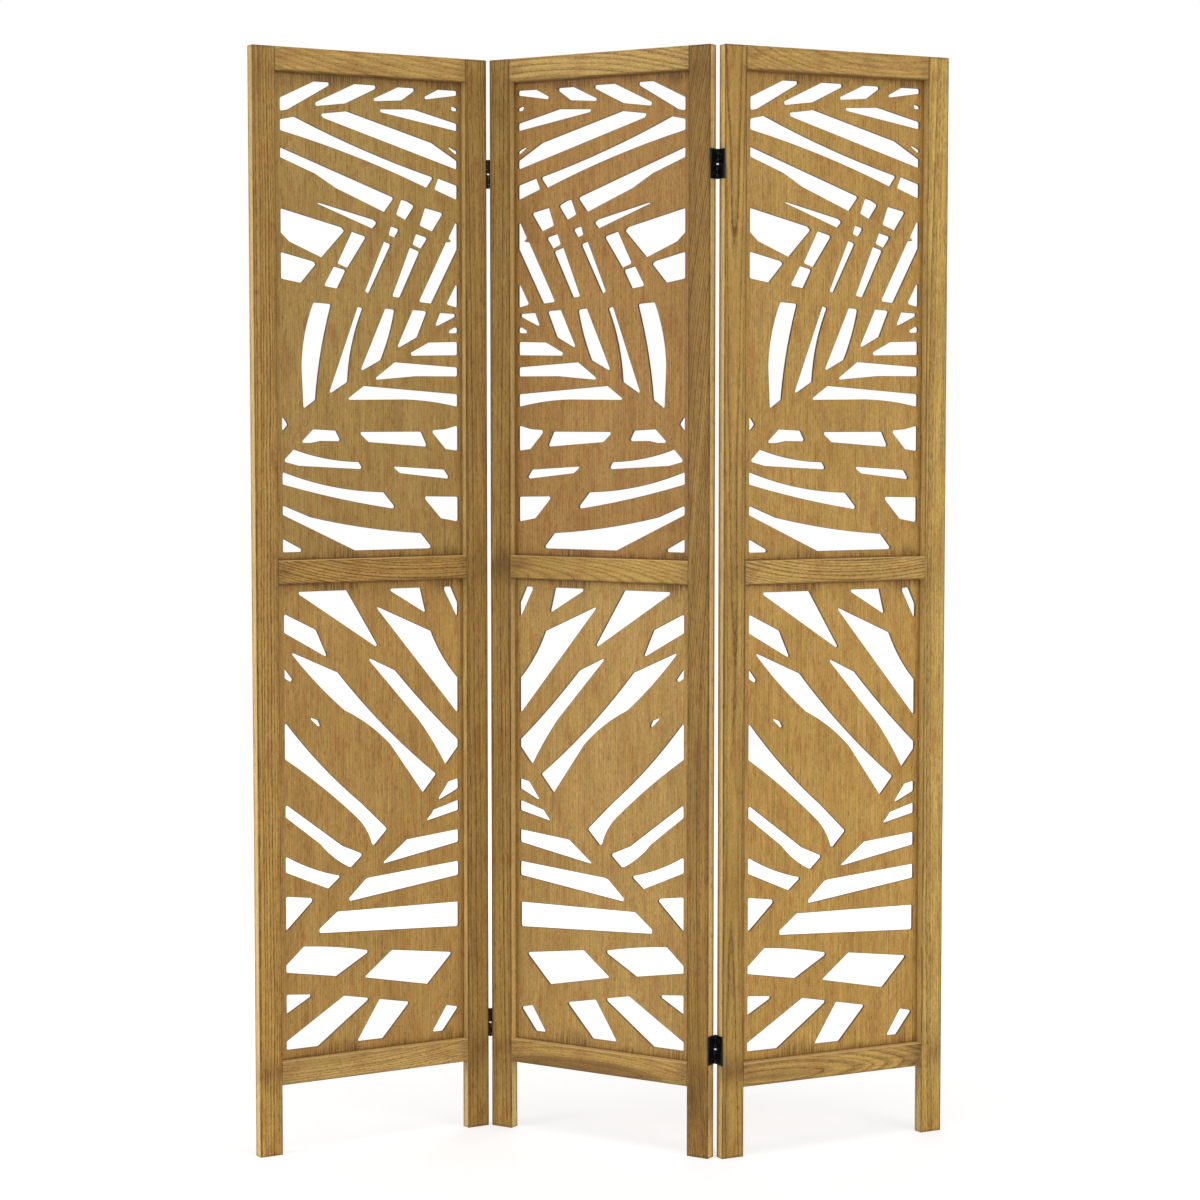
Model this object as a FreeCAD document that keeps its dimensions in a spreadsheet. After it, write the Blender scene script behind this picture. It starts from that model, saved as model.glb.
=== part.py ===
import FreeCAD, Part
import math
import os
import Sketcher
from FreeCAD import Placement, Rotation, Vector

# A folding screen of three frames hinged in a zigzag. Each frame holds two fretwork boards of palm leaves.
# Each panel has its own frame of reference: X along its width, Y from its front face to its back, Z up.

SIZES = [
    # The three frames
    ("panel_width", 400.0),
    ("panel_height", 1700.0),
    ("frame_thickness", 18.0),
    ("stile_width", 38.0),
    ("rail_height", 36.0),
    ("leg_clearance", 108.5),
    ("lower_window_height", 740.5),
    ("arris_radius", 1.5),
    # The fretwork boards and the rebate that they are glued in
    ("board_thickness", 4.0),
    ("board_overlap", 6.0),
    ("board_edge_gap", 0.5),
    ("opening_corner_radius", 2.8),
    # The dowels between rails and stiles
    ("dowel_diameter", 6.0),
    ("dowel_length", 36.0),
    ("dowel_spacing", 18.0),
    ("dowel_glue_gap", 0.05),
    ("dowel_end_gap", 0.5),
    # The double-action hinges
    ("hinge_drop", 178.0),
    ("hinge_rise", 168.0),
    ("hinge_height", 45.0),
    ("hinge_half_gap", 2.5),
    ("leaf_thickness", 0.8),
    ("link_thickness", 0.9),
    ("plate_gap", 0.3),
    ("link_inset", 0.2),
    ("knuckle_stand", 1.75),
    ("leaf_knuckle_length", 8.0),
    ("knuckle_gap", 0.3),
    ("pin_radius", 0.9),
    ("pin_fit", 0.05),
    ("pin_overrun", 0.4),
    # The screws of the hinge leaves
    ("screw_radius", 1.4),
    ("screw_length", 16.0),
    ("screw_head_radius", 2.4),
    ("screw_offset", 14.0),
    ("screw_fit", 0.05),
    ("screw_tip_gap", 0.5),
    ("screw_slot_width", 0.7),
    ("screw_slot_depth", 0.5),
    # How far each panel is turned from the line of the screen, in degrees
    ("left_turn", 30.5),
    ("middle_turn", 31.7),
    ("right_turn", 26.6),
]

doc = FreeCAD.newDocument("folding_screen")
sheet = doc.addObject("Spreadsheet::Sheet", "Sizes")
for row, (alias, number) in enumerate(SIZES, start=1):
    sheet.set(f"A{row}", alias)
    sheet.set(f"B{row}", str(number))
    sheet.setAlias(f"B{row}", alias)
doc.recompute()
size = {alias: float(sheet.get(alias)) for alias, number in SIZES}

# Derived lengths, as expressions over the sheet
WINDOW_WIDTH = "(Sizes.panel_width - 2 * Sizes.stile_width)"
BOTTOM_RAIL_Z = "Sizes.leg_clearance"
LOWER_WINDOW_Z = "(Sizes.leg_clearance + Sizes.rail_height)"
MIDDLE_RAIL_Z = f"({LOWER_WINDOW_Z} + Sizes.lower_window_height)"
UPPER_WINDOW_Z = f"({MIDDLE_RAIL_Z} + Sizes.rail_height)"
TOP_RAIL_Z = "(Sizes.panel_height - Sizes.rail_height)"
UPPER_WINDOW_HEIGHT = f"({TOP_RAIL_Z} - {UPPER_WINDOW_Z})"
REBATE_FLOOR = "(Sizes.frame_thickness - Sizes.board_thickness)"
BOARD_LIP = "(Sizes.board_overlap - Sizes.board_edge_gap)"
DOWEL_Y = f"({REBATE_FLOOR} / 2)"
FOLD_GAP = "(2 * Sizes.leaf_thickness + Sizes.link_thickness + 2 * Sizes.plate_gap)"
KNUCKLE_RADIUS = f"({FOLD_GAP} / 2)"
PIN_Y = "(Sizes.frame_thickness / 2 + Sizes.knuckle_stand)"
HALF_HEIGHT = "((Sizes.hinge_height - Sizes.hinge_half_gap) / 2)"
HALF_CENTRE = f"(({HALF_HEIGHT} + Sizes.hinge_half_gap) / 2)"
LINK_KNUCKLE_Z = "(Sizes.leaf_knuckle_length / 2 + Sizes.knuckle_gap)"

# The same lengths as numbers, for outlines and placements
window_width = size["panel_width"] - 2 * size["stile_width"]
lower_window_z = size["leg_clearance"] + size["rail_height"]
upper_window_z = lower_window_z + size["lower_window_height"] + size["rail_height"]
upper_window_height = size["panel_height"] - size["rail_height"] - upper_window_z
fold_gap = 2 * size["leaf_thickness"] + size["link_thickness"] + 2 * size["plate_gap"]
half_height = (size["hinge_height"] - size["hinge_half_gap"]) / 2
half_centre = (half_height + size["hinge_half_gap"]) / 2
hinge_levels = {"bottom": size["hinge_rise"], "top": size["panel_height"] - size["hinge_drop"]}
window_levels = {"lower": lower_window_z, "upper": upper_window_z}
window_heights = {"lower": size["lower_window_height"], "upper": upper_window_height}
rail_levels = {
    "bottom": size["leg_clearance"],
    "middle": lower_window_z + size["lower_window_height"],
    "top": size["panel_height"] - size["rail_height"],
}

WINDOWS = {
    "lower": (LOWER_WINDOW_Z, "Sizes.lower_window_height"),
    "upper": (UPPER_WINDOW_Z, UPPER_WINDOW_HEIGHT),
}
RAILS = {"bottom": BOTTOM_RAIL_Z, "middle": MIDDLE_RAIL_Z, "top": TOP_RAIL_Z}
HINGES = {"bottom": "Sizes.hinge_rise", "top": "(Sizes.panel_height - Sizes.hinge_drop)"}
ENDS = {"low": "-", "high": "+"}

# Openings of the fretwork boards. Each outline runs clockwise, seen from the front.
# A corner is its share of the window's width and of its height. A third number bows the side that
# follows it, as a share of that side's length: outwards when positive, into the opening when negative.
UPPER_OPENING_SHARES = [
    # The leaf tips along the top
    [(0.042, 0.947), (0.219, 0.984), (0.299, 0.984), (0.300, 0.978), (0.084, 0.924), (0.042, 0.920)],
    [(0.223, 0.941), (0.431, 0.984), (0.544, 0.984), (0.544, 0.977), (0.384, 0.943), (0.227, 0.934)],
    [(0.529, 0.956), (0.662, 0.983), (0.749, 0.983), (0.749, 0.977), (0.681, 0.956), (0.533, 0.951)],
    [(0.801, 0.966), (0.876, 0.983), (0.979, 0.983), (0.979, 0.973), (0.805, 0.961)],
    [(0.944, 0.947), (0.954, 0.950), (0.979, 0.946), (0.979, 0.940), (0.951, 0.940)],
    # The long bands that fall to the right
    [(0.563, 0.935), (0.744, 0.939), (0.979, 0.914), (0.979, 0.898), (0.566, 0.929)],
    [(0.252, 0.919), (0.389, 0.927), (0.843, 0.871), (0.979, 0.836), (0.979, 0.817), (0.262, 0.911)],
    [(0.929, 0.862), (0.939, 0.864), (0.979, 0.856), (0.979, 0.850), (0.966, 0.850)],
    [(0.042, 0.903), (0.118, 0.910, -0.018), (0.851, 0.799), (0.813, 0.776, -0.019), (0.042, 0.881)],
    [(0.875, 0.798), (0.979, 0.784), (0.979, 0.753), (0.852, 0.774)],
    [(0.042, 0.847), (0.639, 0.753), (0.585, 0.722), (0.329, 0.768), (0.220, 0.796), (0.042, 0.826)],
    [(0.230, 0.735), (0.242, 0.737), (0.528, 0.706), (0.548, 0.700), (0.521, 0.687)],
    # The short cells at the heart of the upper leaf
    [(0.674, 0.750), (0.707, 0.747), (0.747, 0.738), (0.699, 0.707), (0.646, 0.718)],
    [(0.802, 0.735), (0.904, 0.725), (0.843, 0.685), (0.772, 0.697)],
    [(0.619, 0.694), (0.666, 0.688), (0.640, 0.670), (0.605, 0.675)],
    [(0.754, 0.680), (0.819, 0.672), (0.781, 0.648), (0.733, 0.657)],
    [
        (0.967, 0.705), (0.979, 0.705), (0.979, 0.650), (0.837, 0.534),
        (0.766, 0.537), (0.916, 0.664), (0.949, 0.665), (0.928, 0.672),
    ],
    [(0.042, 0.723), (0.359, 0.688), (0.376, 0.681), (0.254, 0.624), (0.086, 0.655), (0.042, 0.673)],
    [(0.042, 0.634), (0.211, 0.616), (0.227, 0.611), (0.146, 0.571), (0.042, 0.579)],
    [(0.412, 0.680), (0.490, 0.670), (0.389, 0.604), (0.334, 0.613)],
    [(0.316, 0.607), (0.382, 0.600), (0.335, 0.561), (0.263, 0.566)],
    [(0.582, 0.662), (0.621, 0.656), (0.500, 0.552), (0.478, 0.556)],
    [(0.720, 0.651), (0.776, 0.643), (0.666, 0.545), (0.623, 0.547)],
    [(0.967, 0.574), (0.979, 0.574), (0.979, 0.526), (0.916, 0.533)],
    # The fan of ribs below the heart
    [(0.208, 0.532), (0.303, 0.529, -0.025), (0.217, 0.331), (0.153, 0.311), (0.144, 0.400, 0.046)],
    [(0.440, 0.525), (0.469, 0.522, -0.045), (0.386, 0.368), (0.282, 0.340)],
    [(0.586, 0.522), (0.639, 0.520, 0.030), (0.563, 0.414), (0.448, 0.388)],
    [(0.734, 0.520), (0.814, 0.518), (0.760, 0.463), (0.643, 0.436)],
    [(0.882, 0.515), (0.967, 0.513), (0.967, 0.507), (0.850, 0.483)],
    [(0.929, 0.477), (0.961, 0.485), (0.979, 0.484), (0.979, 0.473), (0.931, 0.472)],
    [(0.721, 0.430), (0.819, 0.452), (0.979, 0.454), (0.979, 0.426), (0.726, 0.424)],
    [(0.533, 0.377), (0.636, 0.410), (0.979, 0.400), (0.979, 0.381), (0.752, 0.381), (0.538, 0.373)],
    [(0.386, 0.334), (0.470, 0.360), (0.979, 0.343), (0.979, 0.316, -0.026), (0.682, 0.332), (0.392, 0.331)],
    # The lower leaf, seen from its side
    [(0.042, 0.294), (0.052, 0.294), (0.073, 0.280), (0.052, 0.269), (0.042, 0.269)],
    [
        (0.145, 0.246), (0.202, 0.270), (0.323, 0.267), (0.351, 0.245),
        (0.245, 0.246), (0.195, 0.242), (0.148, 0.242),
    ],
    [(0.452, 0.264), (0.779, 0.264), (0.814, 0.232), (0.493, 0.243), (0.452, 0.259)],
    [(0.839, 0.267), (0.906, 0.269), (0.979, 0.277), (0.979, 0.223), (0.910, 0.227), (0.839, 0.261)],
    [(0.053, 0.208), (0.101, 0.229, -0.040), (0.445, 0.201), (0.467, 0.186), (0.126, 0.195), (0.056, 0.203)],
    [(0.631, 0.191), (0.905, 0.183), (0.937, 0.163), (0.661, 0.177), (0.631, 0.187)],
    [(0.042, 0.183, -0.042), (0.576, 0.137), (0.647, 0.101, 0.015), (0.042, 0.157)],
    [(0.797, 0.127), (0.979, 0.125), (0.979, 0.072), (0.882, 0.080), (0.797, 0.121)],
    [
        (0.042, 0.114), (0.190, 0.0875, -0.020), (0.777, 0.049), (0.840, 0.0165),
        (0.419, 0.0165), (0.042, 0.094),
    ],
    [(0.042, 0.043), (0.051, 0.043), (0.141, 0.022), (0.139, 0.0165), (0.042, 0.0165)],
]
LOWER_OPENING_SHARES = [
    # The leaf tips along the top
    [(0.121, 0.982), (0.375, 0.982), (0.539, 0.863), (0.528, 0.860), (0.121, 0.977)],
    [(0.607, 0.982), (0.770, 0.982), (0.799, 0.930), (0.787, 0.930), (0.607, 0.977)],
    [(0.899, 0.982), (0.937, 0.982), (0.975, 0.947), (0.974, 0.919), (0.964, 0.920), (0.899, 0.975)],
    [(0.044, 0.938), (0.213, 0.901), (0.269, 0.846), (0.257, 0.845), (0.044, 0.898)],
    # The long bands that fall to the right
    [
        (0.536, 0.945), (0.828, 0.888, -0.045), (0.975, 0.785),
        (0.975, 0.712), (0.964, 0.712), (0.536, 0.940),
    ],
    [
        (0.086, 0.856), (0.327, 0.809, -0.026), (0.855, 0.580), (0.780, 0.541),
        (0.603, 0.650, -0.045), (0.358, 0.729, 0.022), (0.086, 0.851),
    ],
    [(0.045, 0.823), (0.052, 0.821), (0.089, 0.799), (0.079, 0.794), (0.045, 0.803)],
    [
        (0.492, 0.837), (0.634, 0.807, -0.014), (0.975, 0.652), (0.975, 0.636),
        (0.904, 0.598, -0.020), (0.755, 0.700), (0.492, 0.831),
    ],
    [(0.180, 0.718), (0.219, 0.711), (0.233, 0.698), (0.219, 0.698), (0.180, 0.714)],
    [
        (0.044, 0.714, -0.027), (0.449, 0.5285), (0.587, 0.470), (0.515, 0.437),
        (0.500, 0.441, -0.070), (0.420, 0.500, -0.018), (0.044, 0.634),
    ],
    # The short ribs at the right
    [(0.864, 0.528), (0.919, 0.562), (0.975, 0.568), (0.975, 0.545), (0.869, 0.523)],
    [(0.801, 0.480), (0.801, 0.484), (0.824, 0.495), (0.835, 0.503), (0.975, 0.521), (0.975, 0.498)],
    [
        (0.045, 0.540), (0.346, 0.441), (0.456, 0.420), (0.394, 0.395),
        (0.376, 0.3965, 0.050), (0.225, 0.450), (0.045, 0.512),
    ],
    [(0.560, 0.399), (0.690, 0.444), (0.975, 0.457), (0.975, 0.429), (0.569, 0.396)],
    [(0.044, 0.430, -0.043), (0.338, 0.378), (0.271, 0.353), (0.044, 0.396)],
    [(0.375, 0.329), (0.466, 0.367), (0.487, 0.3695), (0.975, 0.388), (0.975, 0.357), (0.382, 0.322)],
    # The broad cells at the foot
    [(0.044, 0.345), (0.177, 0.337), (0.188, 0.331), (0.053, 0.274), (0.044, 0.275)],
    [(0.218, 0.270), (0.313, 0.303), (0.972, 0.299), (0.972, 0.245), (0.227, 0.260), (0.218, 0.262)],
    [(0.043, 0.200), (0.135, 0.236, 0.019), (0.494, 0.212), (0.309, 0.165), (0.043, 0.184)],
    [(0.459, 0.158), (0.605, 0.209), (0.941, 0.190), (0.802, 0.126), (0.466, 0.155)],
    [(0.043, 0.138), (0.191, 0.132), (0.053, 0.098), (0.043, 0.098)],
    [(0.042, 0.039), (0.346, 0.122), (0.490, 0.110), (0.210, 0.020), (0.042, 0.020)],
    [(0.536, 0.106), (0.705, 0.092), (0.556, 0.020), (0.413, 0.020)],
    [(0.903, 0.076), (0.973, 0.069), (0.885, 0.020), (0.822, 0.020)],
]
OPENING_SHARES = {"lower": LOWER_OPENING_SHARES, "upper": UPPER_OPENING_SHARES}


def origin_plane(body, role):
    return next(feature for feature in body.Origin.OriginFeatures if feature.Role == role)


def new_body(label):
    body = doc.addObject("PartDesign::Body", label)
    body.Label = label
    return body


def sketch_on(body, name, role, offset):
    """A sketch on one of the body's origin planes, moved within it and along its normal."""
    sketch = body.newObject("Sketcher::SketchObject", name)
    sketch.AttachmentSupport = [(origin_plane(body, role), "")]
    sketch.MapMode = "FlatFace"
    for axis, text in offset.items():
        sketch.setExpression("AttachmentOffset.Base." + axis, text)
    return sketch


def add_rectangle(sketch, width, height, lead="0"):
    """A rectangle whose first corner lies before the sketch's origin by the lead, both ways."""
    corners = [Vector(0, 0), Vector(1, 0), Vector(1, 1), Vector(0, 1)]
    for start, end in zip(corners, corners[1:] + corners[:1]):
        sketch.addGeometry(Part.LineSegment(start, end), False)
    for side in range(4):
        sketch.addConstraint(Sketcher.Constraint("Coincident", side, 2, (side + 1) % 4, 1))
    sketch.addConstraint(Sketcher.Constraint("Horizontal", 0))
    sketch.addConstraint(Sketcher.Constraint("Horizontal", 2))
    sketch.addConstraint(Sketcher.Constraint("Vertical", 1))
    sketch.addConstraint(Sketcher.Constraint("Vertical", 3))
    for kind, side, text in (("DistanceX", 0, width), ("DistanceY", 1, height)):
        index = sketch.addConstraint(Sketcher.Constraint(kind, side, 1, side, 2, 1.0))
        sketch.setExpression(f"Constraints[{index}]", text)
    if lead == "0":
        sketch.addConstraint(Sketcher.Constraint("Coincident", 0, 1, -1, 1))
        return
    for kind in ("DistanceX", "DistanceY"):
        index = sketch.addConstraint(Sketcher.Constraint(kind, 0, 1, -1, 1, 1.0))
        sketch.setExpression(f"Constraints[{index}]", lead)


def add_circle(sketch, across, up, radius):
    centre = sketch.addGeometry(Part.Circle(Vector(1, 1), Vector(0, 0, 1), 1), False)
    for kind, text in (("DistanceX", across), ("DistanceY", up)):
        index = sketch.addConstraint(Sketcher.Constraint(kind, -1, 1, centre, 3, 1.0))
        sketch.setExpression(f"Constraints[{index}]", text)
    index = sketch.addConstraint(Sketcher.Constraint("Radius", centre, 1.0))
    sketch.setExpression(f"Constraints[{index}]", radius)


def pad(body, sketch, name, length):
    feature = body.newObject("PartDesign::Pad", name)
    feature.Profile = sketch
    feature.setExpression("Length", length)
    doc.recompute()
    return feature


def pocket(body, sketch, name, depth, along_normal):
    """A cut from the sketch, along its normal or against it, that has to take material away."""
    before = body.Shape.Volume
    feature = body.newObject("PartDesign::Pocket", name)
    feature.Profile = sketch
    feature.Type = "Length"
    feature.setExpression("Length", depth)
    feature.Reversed = along_normal
    doc.recompute()
    if body.Shape.Volume >= before:
        raise RuntimeError(f"{body.Label}: {name} cuts nothing")
    return feature


def round_edges(body, name, base, chosen):
    """Rounds the edges of the base whose middle point and direction the function picks."""
    edges = []
    for number, edge in enumerate(base.Shape.Edges, start=1):
        direction = edge.Vertexes[-1].Point - edge.Vertexes[0].Point
        middle = (edge.Vertexes[-1].Point + edge.Vertexes[0].Point) / 2
        if chosen(middle, direction.normalize()):
            edges.append(f"Edge{number}")
    fillet = body.newObject("PartDesign::Fillet", name)
    fillet.Base = (base, edges)
    fillet.setExpression("Radius", "Sizes.arris_radius")
    doc.recompute()
    return fillet


def near(first, second):
    return math.isclose(first, second, abs_tol=1e-6)


def arris_stretch(body, name, sketch_offset, length, corner_x, corner_y, into_x, into_y):
    """Rounds one long corner over a stretch, as a router does after the frame is put together."""
    radius = size["arris_radius"]
    sketch = sketch_on(body, name + "_profile", "XY_Plane", {"z": sketch_offset})
    corner = Vector(corner_x, corner_y)
    beside = corner + Vector(into_x * radius, 0)
    behind = corner + Vector(0, into_y * radius)
    centre = corner + Vector(into_x * radius, into_y * radius)
    halfway = centre - Vector(into_x, into_y).normalize() * radius
    sketch.addGeometry(Part.LineSegment(behind, corner), False)
    sketch.addGeometry(Part.LineSegment(corner, beside), False)
    sketch.addGeometry(Part.Arc(beside, halfway, behind), False)
    return pocket(body, sketch, name, length, True)


def make_stile(label, inner_on_right, hinged):
    """An upright, with its inner side towards the boards."""
    body = new_body(label)
    outline = sketch_on(body, label + "_section", "XY_Plane", {})
    add_rectangle(outline, "Sizes.stile_width", "Sizes.frame_thickness")
    upright = pad(body, outline, label + "_length", "Sizes.panel_height")
    inner = size["stile_width"] if inner_on_right else 0.0
    outer = size["stile_width"] - inner
    top = size["panel_height"]

    def outside(middle, direction):
        on_top = near(middle.z, top)
        upright_edge = near(abs(direction.z), 1) and near(middle.x, outer)
        return upright_edge or (on_top and not near(middle.x, inner))

    round_edges(body, label + "_outer_arris", upright, outside)
    into = -1 if inner_on_right else 1
    stretches = [("leg", "0", "Sizes.leg_clearance")]
    stretches += [(name, bottom, height) for name, (bottom, height) in WINDOWS.items()]
    for name, start, length in stretches:
        arris_stretch(body, f"{label}_{name}_front_arris", start, length, inner, 0, into, 1)
    back = size["frame_thickness"]
    arris_stretch(body, label + "_leg_back_arris", "0", "Sizes.leg_clearance", inner, back, into, -1)
    inner_text = "Sizes.stile_width" if inner_on_right else "0"
    rebate_x = "Sizes.stile_width - Sizes.board_overlap" if inner_on_right else "0"
    for name, (bottom, height) in WINDOWS.items():
        offset = {"x": rebate_x, "y": f"{bottom} - Sizes.board_overlap", "z": "-Sizes.frame_thickness"}
        sketch = sketch_on(body, f"{label}_{name}_rebate_outline", "XZ_Plane", offset)
        add_rectangle(sketch, "Sizes.board_overlap", f"{height} + 2 * Sizes.board_overlap")
        pocket(body, sketch, f"{label}_{name}_rebate", "Sizes.board_thickness", True)
    sketch = sketch_on(body, label + "_dowel_places", "YZ_Plane", {"z": inner_text})
    for bottom in RAILS.values():
        for sign in ("-", "+"):
            up = f"{bottom} + Sizes.rail_height / 2 {sign} Sizes.dowel_spacing / 2"
            add_circle(sketch, DOWEL_Y, up, "Sizes.dowel_diameter / 2 + Sizes.dowel_glue_gap")
    depth = "Sizes.dowel_length / 2 + Sizes.dowel_end_gap"
    pocket(body, sketch, label + "_dowel_holes", depth, not inner_on_right)
    if hinged:
        outer_text = "0" if inner_on_right else "Sizes.stile_width"
        sketch = sketch_on(body, label + "_screw_places", "YZ_Plane", {"z": outer_text})
        for level in HINGES.values():
            for sign in ("-", "+"):
                up = f"{level} {sign} Sizes.screw_offset"
                add_circle(sketch, "Sizes.frame_thickness / 2", up, "Sizes.screw_radius + Sizes.screw_fit")
        depth = "Sizes.screw_length - Sizes.leaf_thickness + Sizes.screw_tip_gap"
        pocket(body, sketch, label + "_screw_holes", depth, inner_on_right)
    return body


def make_rail(label, board_below, board_above):
    """A cross member between the stiles, with a rebate at its back for each board that it holds."""
    body = new_body(label)
    outline = sketch_on(body, label + "_section", "XY_Plane", {})
    add_rectangle(outline, WINDOW_WIDTH, "Sizes.frame_thickness")
    bar = pad(body, outline, label + "_height", "Sizes.rail_height")
    round_edges(body, label + "_arris", bar, lambda middle, direction: near(abs(direction.x), 1))
    rebates = []
    if board_below:
        rebates.append(("lower", "0"))
    if board_above:
        rebates.append(("upper", "Sizes.rail_height - Sizes.board_overlap"))
    for name, start in rebates:
        offset = {"y": start, "z": "-Sizes.frame_thickness"}
        sketch = sketch_on(body, f"{label}_{name}_rebate_outline", "XZ_Plane", offset)
        add_rectangle(sketch, WINDOW_WIDTH, "Sizes.board_overlap")
        pocket(body, sketch, f"{label}_{name}_rebate", "Sizes.board_thickness", True)
    for end, position, along in (("left", "0", True), ("right", WINDOW_WIDTH, False)):
        sketch = sketch_on(body, f"{label}_{end}_dowel_places", "YZ_Plane", {"z": position})
        for sign in ("-", "+"):
            up = f"Sizes.rail_height / 2 {sign} Sizes.dowel_spacing / 2"
            add_circle(sketch, DOWEL_Y, up, "Sizes.dowel_diameter / 2 + Sizes.dowel_glue_gap")
        depth = "Sizes.dowel_length / 2 + Sizes.dowel_end_gap"
        pocket(body, sketch, f"{label}_{end}_dowel_holes", depth, along)
    return body


# A corner takes at most this share of its shorter side. A corner flatter than the second share stays plain.
TRIM_LIMIT_SHARE = 0.45
STRAIGHT_CORNER_SHARE = 0.02


def side_curve(start, end, bow_share):
    """The centre and radius of a bowed side, or nothing for a straight one."""
    if bow_share == 0:
        return None
    chord = end - start
    outwards = Vector(-chord.y, chord.x).normalize()
    height = abs(bow_share) * chord.Length
    radius = (chord.Length ** 2 / 4 + height ** 2) / (2 * height)
    sign = 1 if bow_share > 0 else -1
    centre = (start + end) / 2 - outwards * sign * (radius - height)
    return centre, radius


def along_side(start, end, curve, distance):
    """The point at a distance from the start of a side."""
    if curve is None:
        return start + (end - start).normalize() * distance
    centre, radius = curve
    ray = start - centre
    turn = distance / radius
    if ray.cross(end - centre).z < 0:
        turn = -turn
    return centre + Rotation(Vector(0, 0, 1), math.degrees(turn)).multVec(ray)


def opening_edges(points, bow_shares):
    """The outline of one opening as lines and arcs, with each corner rounded."""
    count = len(points)
    following = points[1:] + points[:1]
    curves = [side_curve(*side) for side in zip(points, following, bow_shares)]
    lengths = [(end - start).Length for start, end in zip(points, following)]
    cuts = []
    for index in range(count):
        towards_next = (following[index] - points[index]).normalize()
        towards_last = (points[index - 1] - points[index]).normalize()
        half_angle = towards_next.getAngle(towards_last) / 2
        wanted = size["opening_corner_radius"] / math.tan(half_angle)
        shorter = min(lengths[index], lengths[index - 1])
        cuts.append(min(wanted, shorter * TRIM_LIMIT_SHARE))
    edges = []
    for index in range(count):
        start, end = points[index], following[index]
        after = (index + 1) % count
        curve = curves[index]
        first = along_side(start, end, curve, cuts[index])
        last = along_side(end, start, curve, cuts[after])
        if curve is None:
            edges.append(Part.LineSegment(first, last))
        else:
            centre, radius = curve
            middle = centre + ((first + last) / 2 - centre).normalize() * radius
            edges.append(Part.Arc(first, middle, last))
        following_point = following[after]
        turn_end = along_side(end, following_point, curves[after], cuts[after])
        inwards = (last - end).normalize() + (turn_end - end).normalize()
        half_angle = (last - end).getAngle(turn_end - end) / 2
        reach = cuts[after] * (1 - math.sin(half_angle)) / math.cos(half_angle)
        if inwards.Length < STRAIGHT_CORNER_SHARE:
            edges.append(Part.LineSegment(last, turn_end))
        else:
            edges.append(Part.Arc(last, end + inwards.normalize() * reach, turn_end))
    return edges


def make_board(label, window):
    """A thin board sawn into palm leaves, with a plain border that lies in the rebate."""
    height = WINDOWS[window][1]
    window_height = window_heights[window]
    body = new_body(label)
    outline = sketch_on(body, label + "_outline", "XZ_Plane", {"z": "-Sizes.frame_thickness"})
    add_rectangle(outline, f"{WINDOW_WIDTH} + 2 * {BOARD_LIP}", f"{height} + 2 * {BOARD_LIP}", BOARD_LIP)
    openings = []
    for shares in OPENING_SHARES[window]:
        points = [Vector(share[0] * window_width, share[1] * window_height) for share in shares]
        bow_shares = [share[2] if len(share) > 2 else 0 for share in shares]
        openings += opening_edges(points, bow_shares)
    outline.addGeometry(openings, False)
    pad(body, outline, label + "_thickness", "Sizes.board_thickness")
    return body


def make_mirrored_board(label, window):
    """The same board turned left to right about the middle of its window."""
    mirrored = doc.addObject("Part::Mirroring", label)
    mirrored.Source = pattern(window + "_board", make_board, window)
    mirrored.Normal = Vector(1, 0, 0)
    mirrored.setExpression("Base.x", f"{WINDOW_WIDTH} / 2")
    return mirrored


patterns = {}


def pattern(name, maker, *choices):
    """The one model of a kind of piece, made when it is first asked for. All pieces of the kind share it."""
    if name not in patterns:
        patterns[name] = maker(name, *choices)
    return patterns[name]


UPRIGHT = Rotation()
SIDEWAYS = Rotation(Vector(0, 1, 0), 90)
HALF_TURN = Rotation(Vector(0, 0, 1), 180)


def put(solid, base, rotation=UPRIGHT):
    """Turns a solid, and binds its place to the sheet."""
    solid.Placement = Placement(Vector(), rotation)
    for axis, text in base.items():
        solid.setExpression("Placement.Base." + axis, text)
    return solid


def primitive(kind, name, sizes, base, rotation=UPRIGHT):
    """A box, cylinder or cone, with its sizes and its place bound to the sheet."""
    solid = doc.addObject(kind, name)
    for key, text in sizes.items():
        solid.setExpression(key, text)
    return put(solid, base, rotation)


def fuse(name, shapes):
    joined = doc.addObject("Part::MultiFuse", name)
    joined.Shapes = shapes
    joined.Refine = True
    return joined


def cut(name, base, tools):
    result = doc.addObject("Part::Cut", name)
    result.Base = base
    result.Tool = tools[0] if len(tools) == 1 else fuse(name + "_tools", tools)
    return result


def make_knuckle(name, pin_side, thickness, arm_x, arm_root, bottom, length):
    """A barrel on a pin line, with the arm that carries it. The pin side is - in front, + behind."""
    barrel_sizes = {"Radius": KNUCKLE_RADIUS, "Height": length}
    barrel = primitive("Part::Cylinder", name + "_barrel", barrel_sizes, {"y": pin_side + PIN_Y, "z": bottom})
    start = f"-{PIN_Y}" if pin_side == "-" else arm_root
    arm_sizes = {"Length": thickness, "Width": f"{PIN_Y} - {arm_root}", "Height": length}
    arm = primitive("Part::Box", name + "_arm", arm_sizes, {"x": arm_x, "y": start, "z": bottom})
    return [barrel, arm]


def make_bore(name, pin_side):
    bore_sizes = {"Radius": "Sizes.pin_radius + Sizes.pin_fit", "Height": "Sizes.hinge_height"}
    bore_base = {"y": pin_side + PIN_Y, "z": "-Sizes.hinge_height / 2"}
    return primitive("Part::Cylinder", name, bore_sizes, bore_base)


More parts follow.
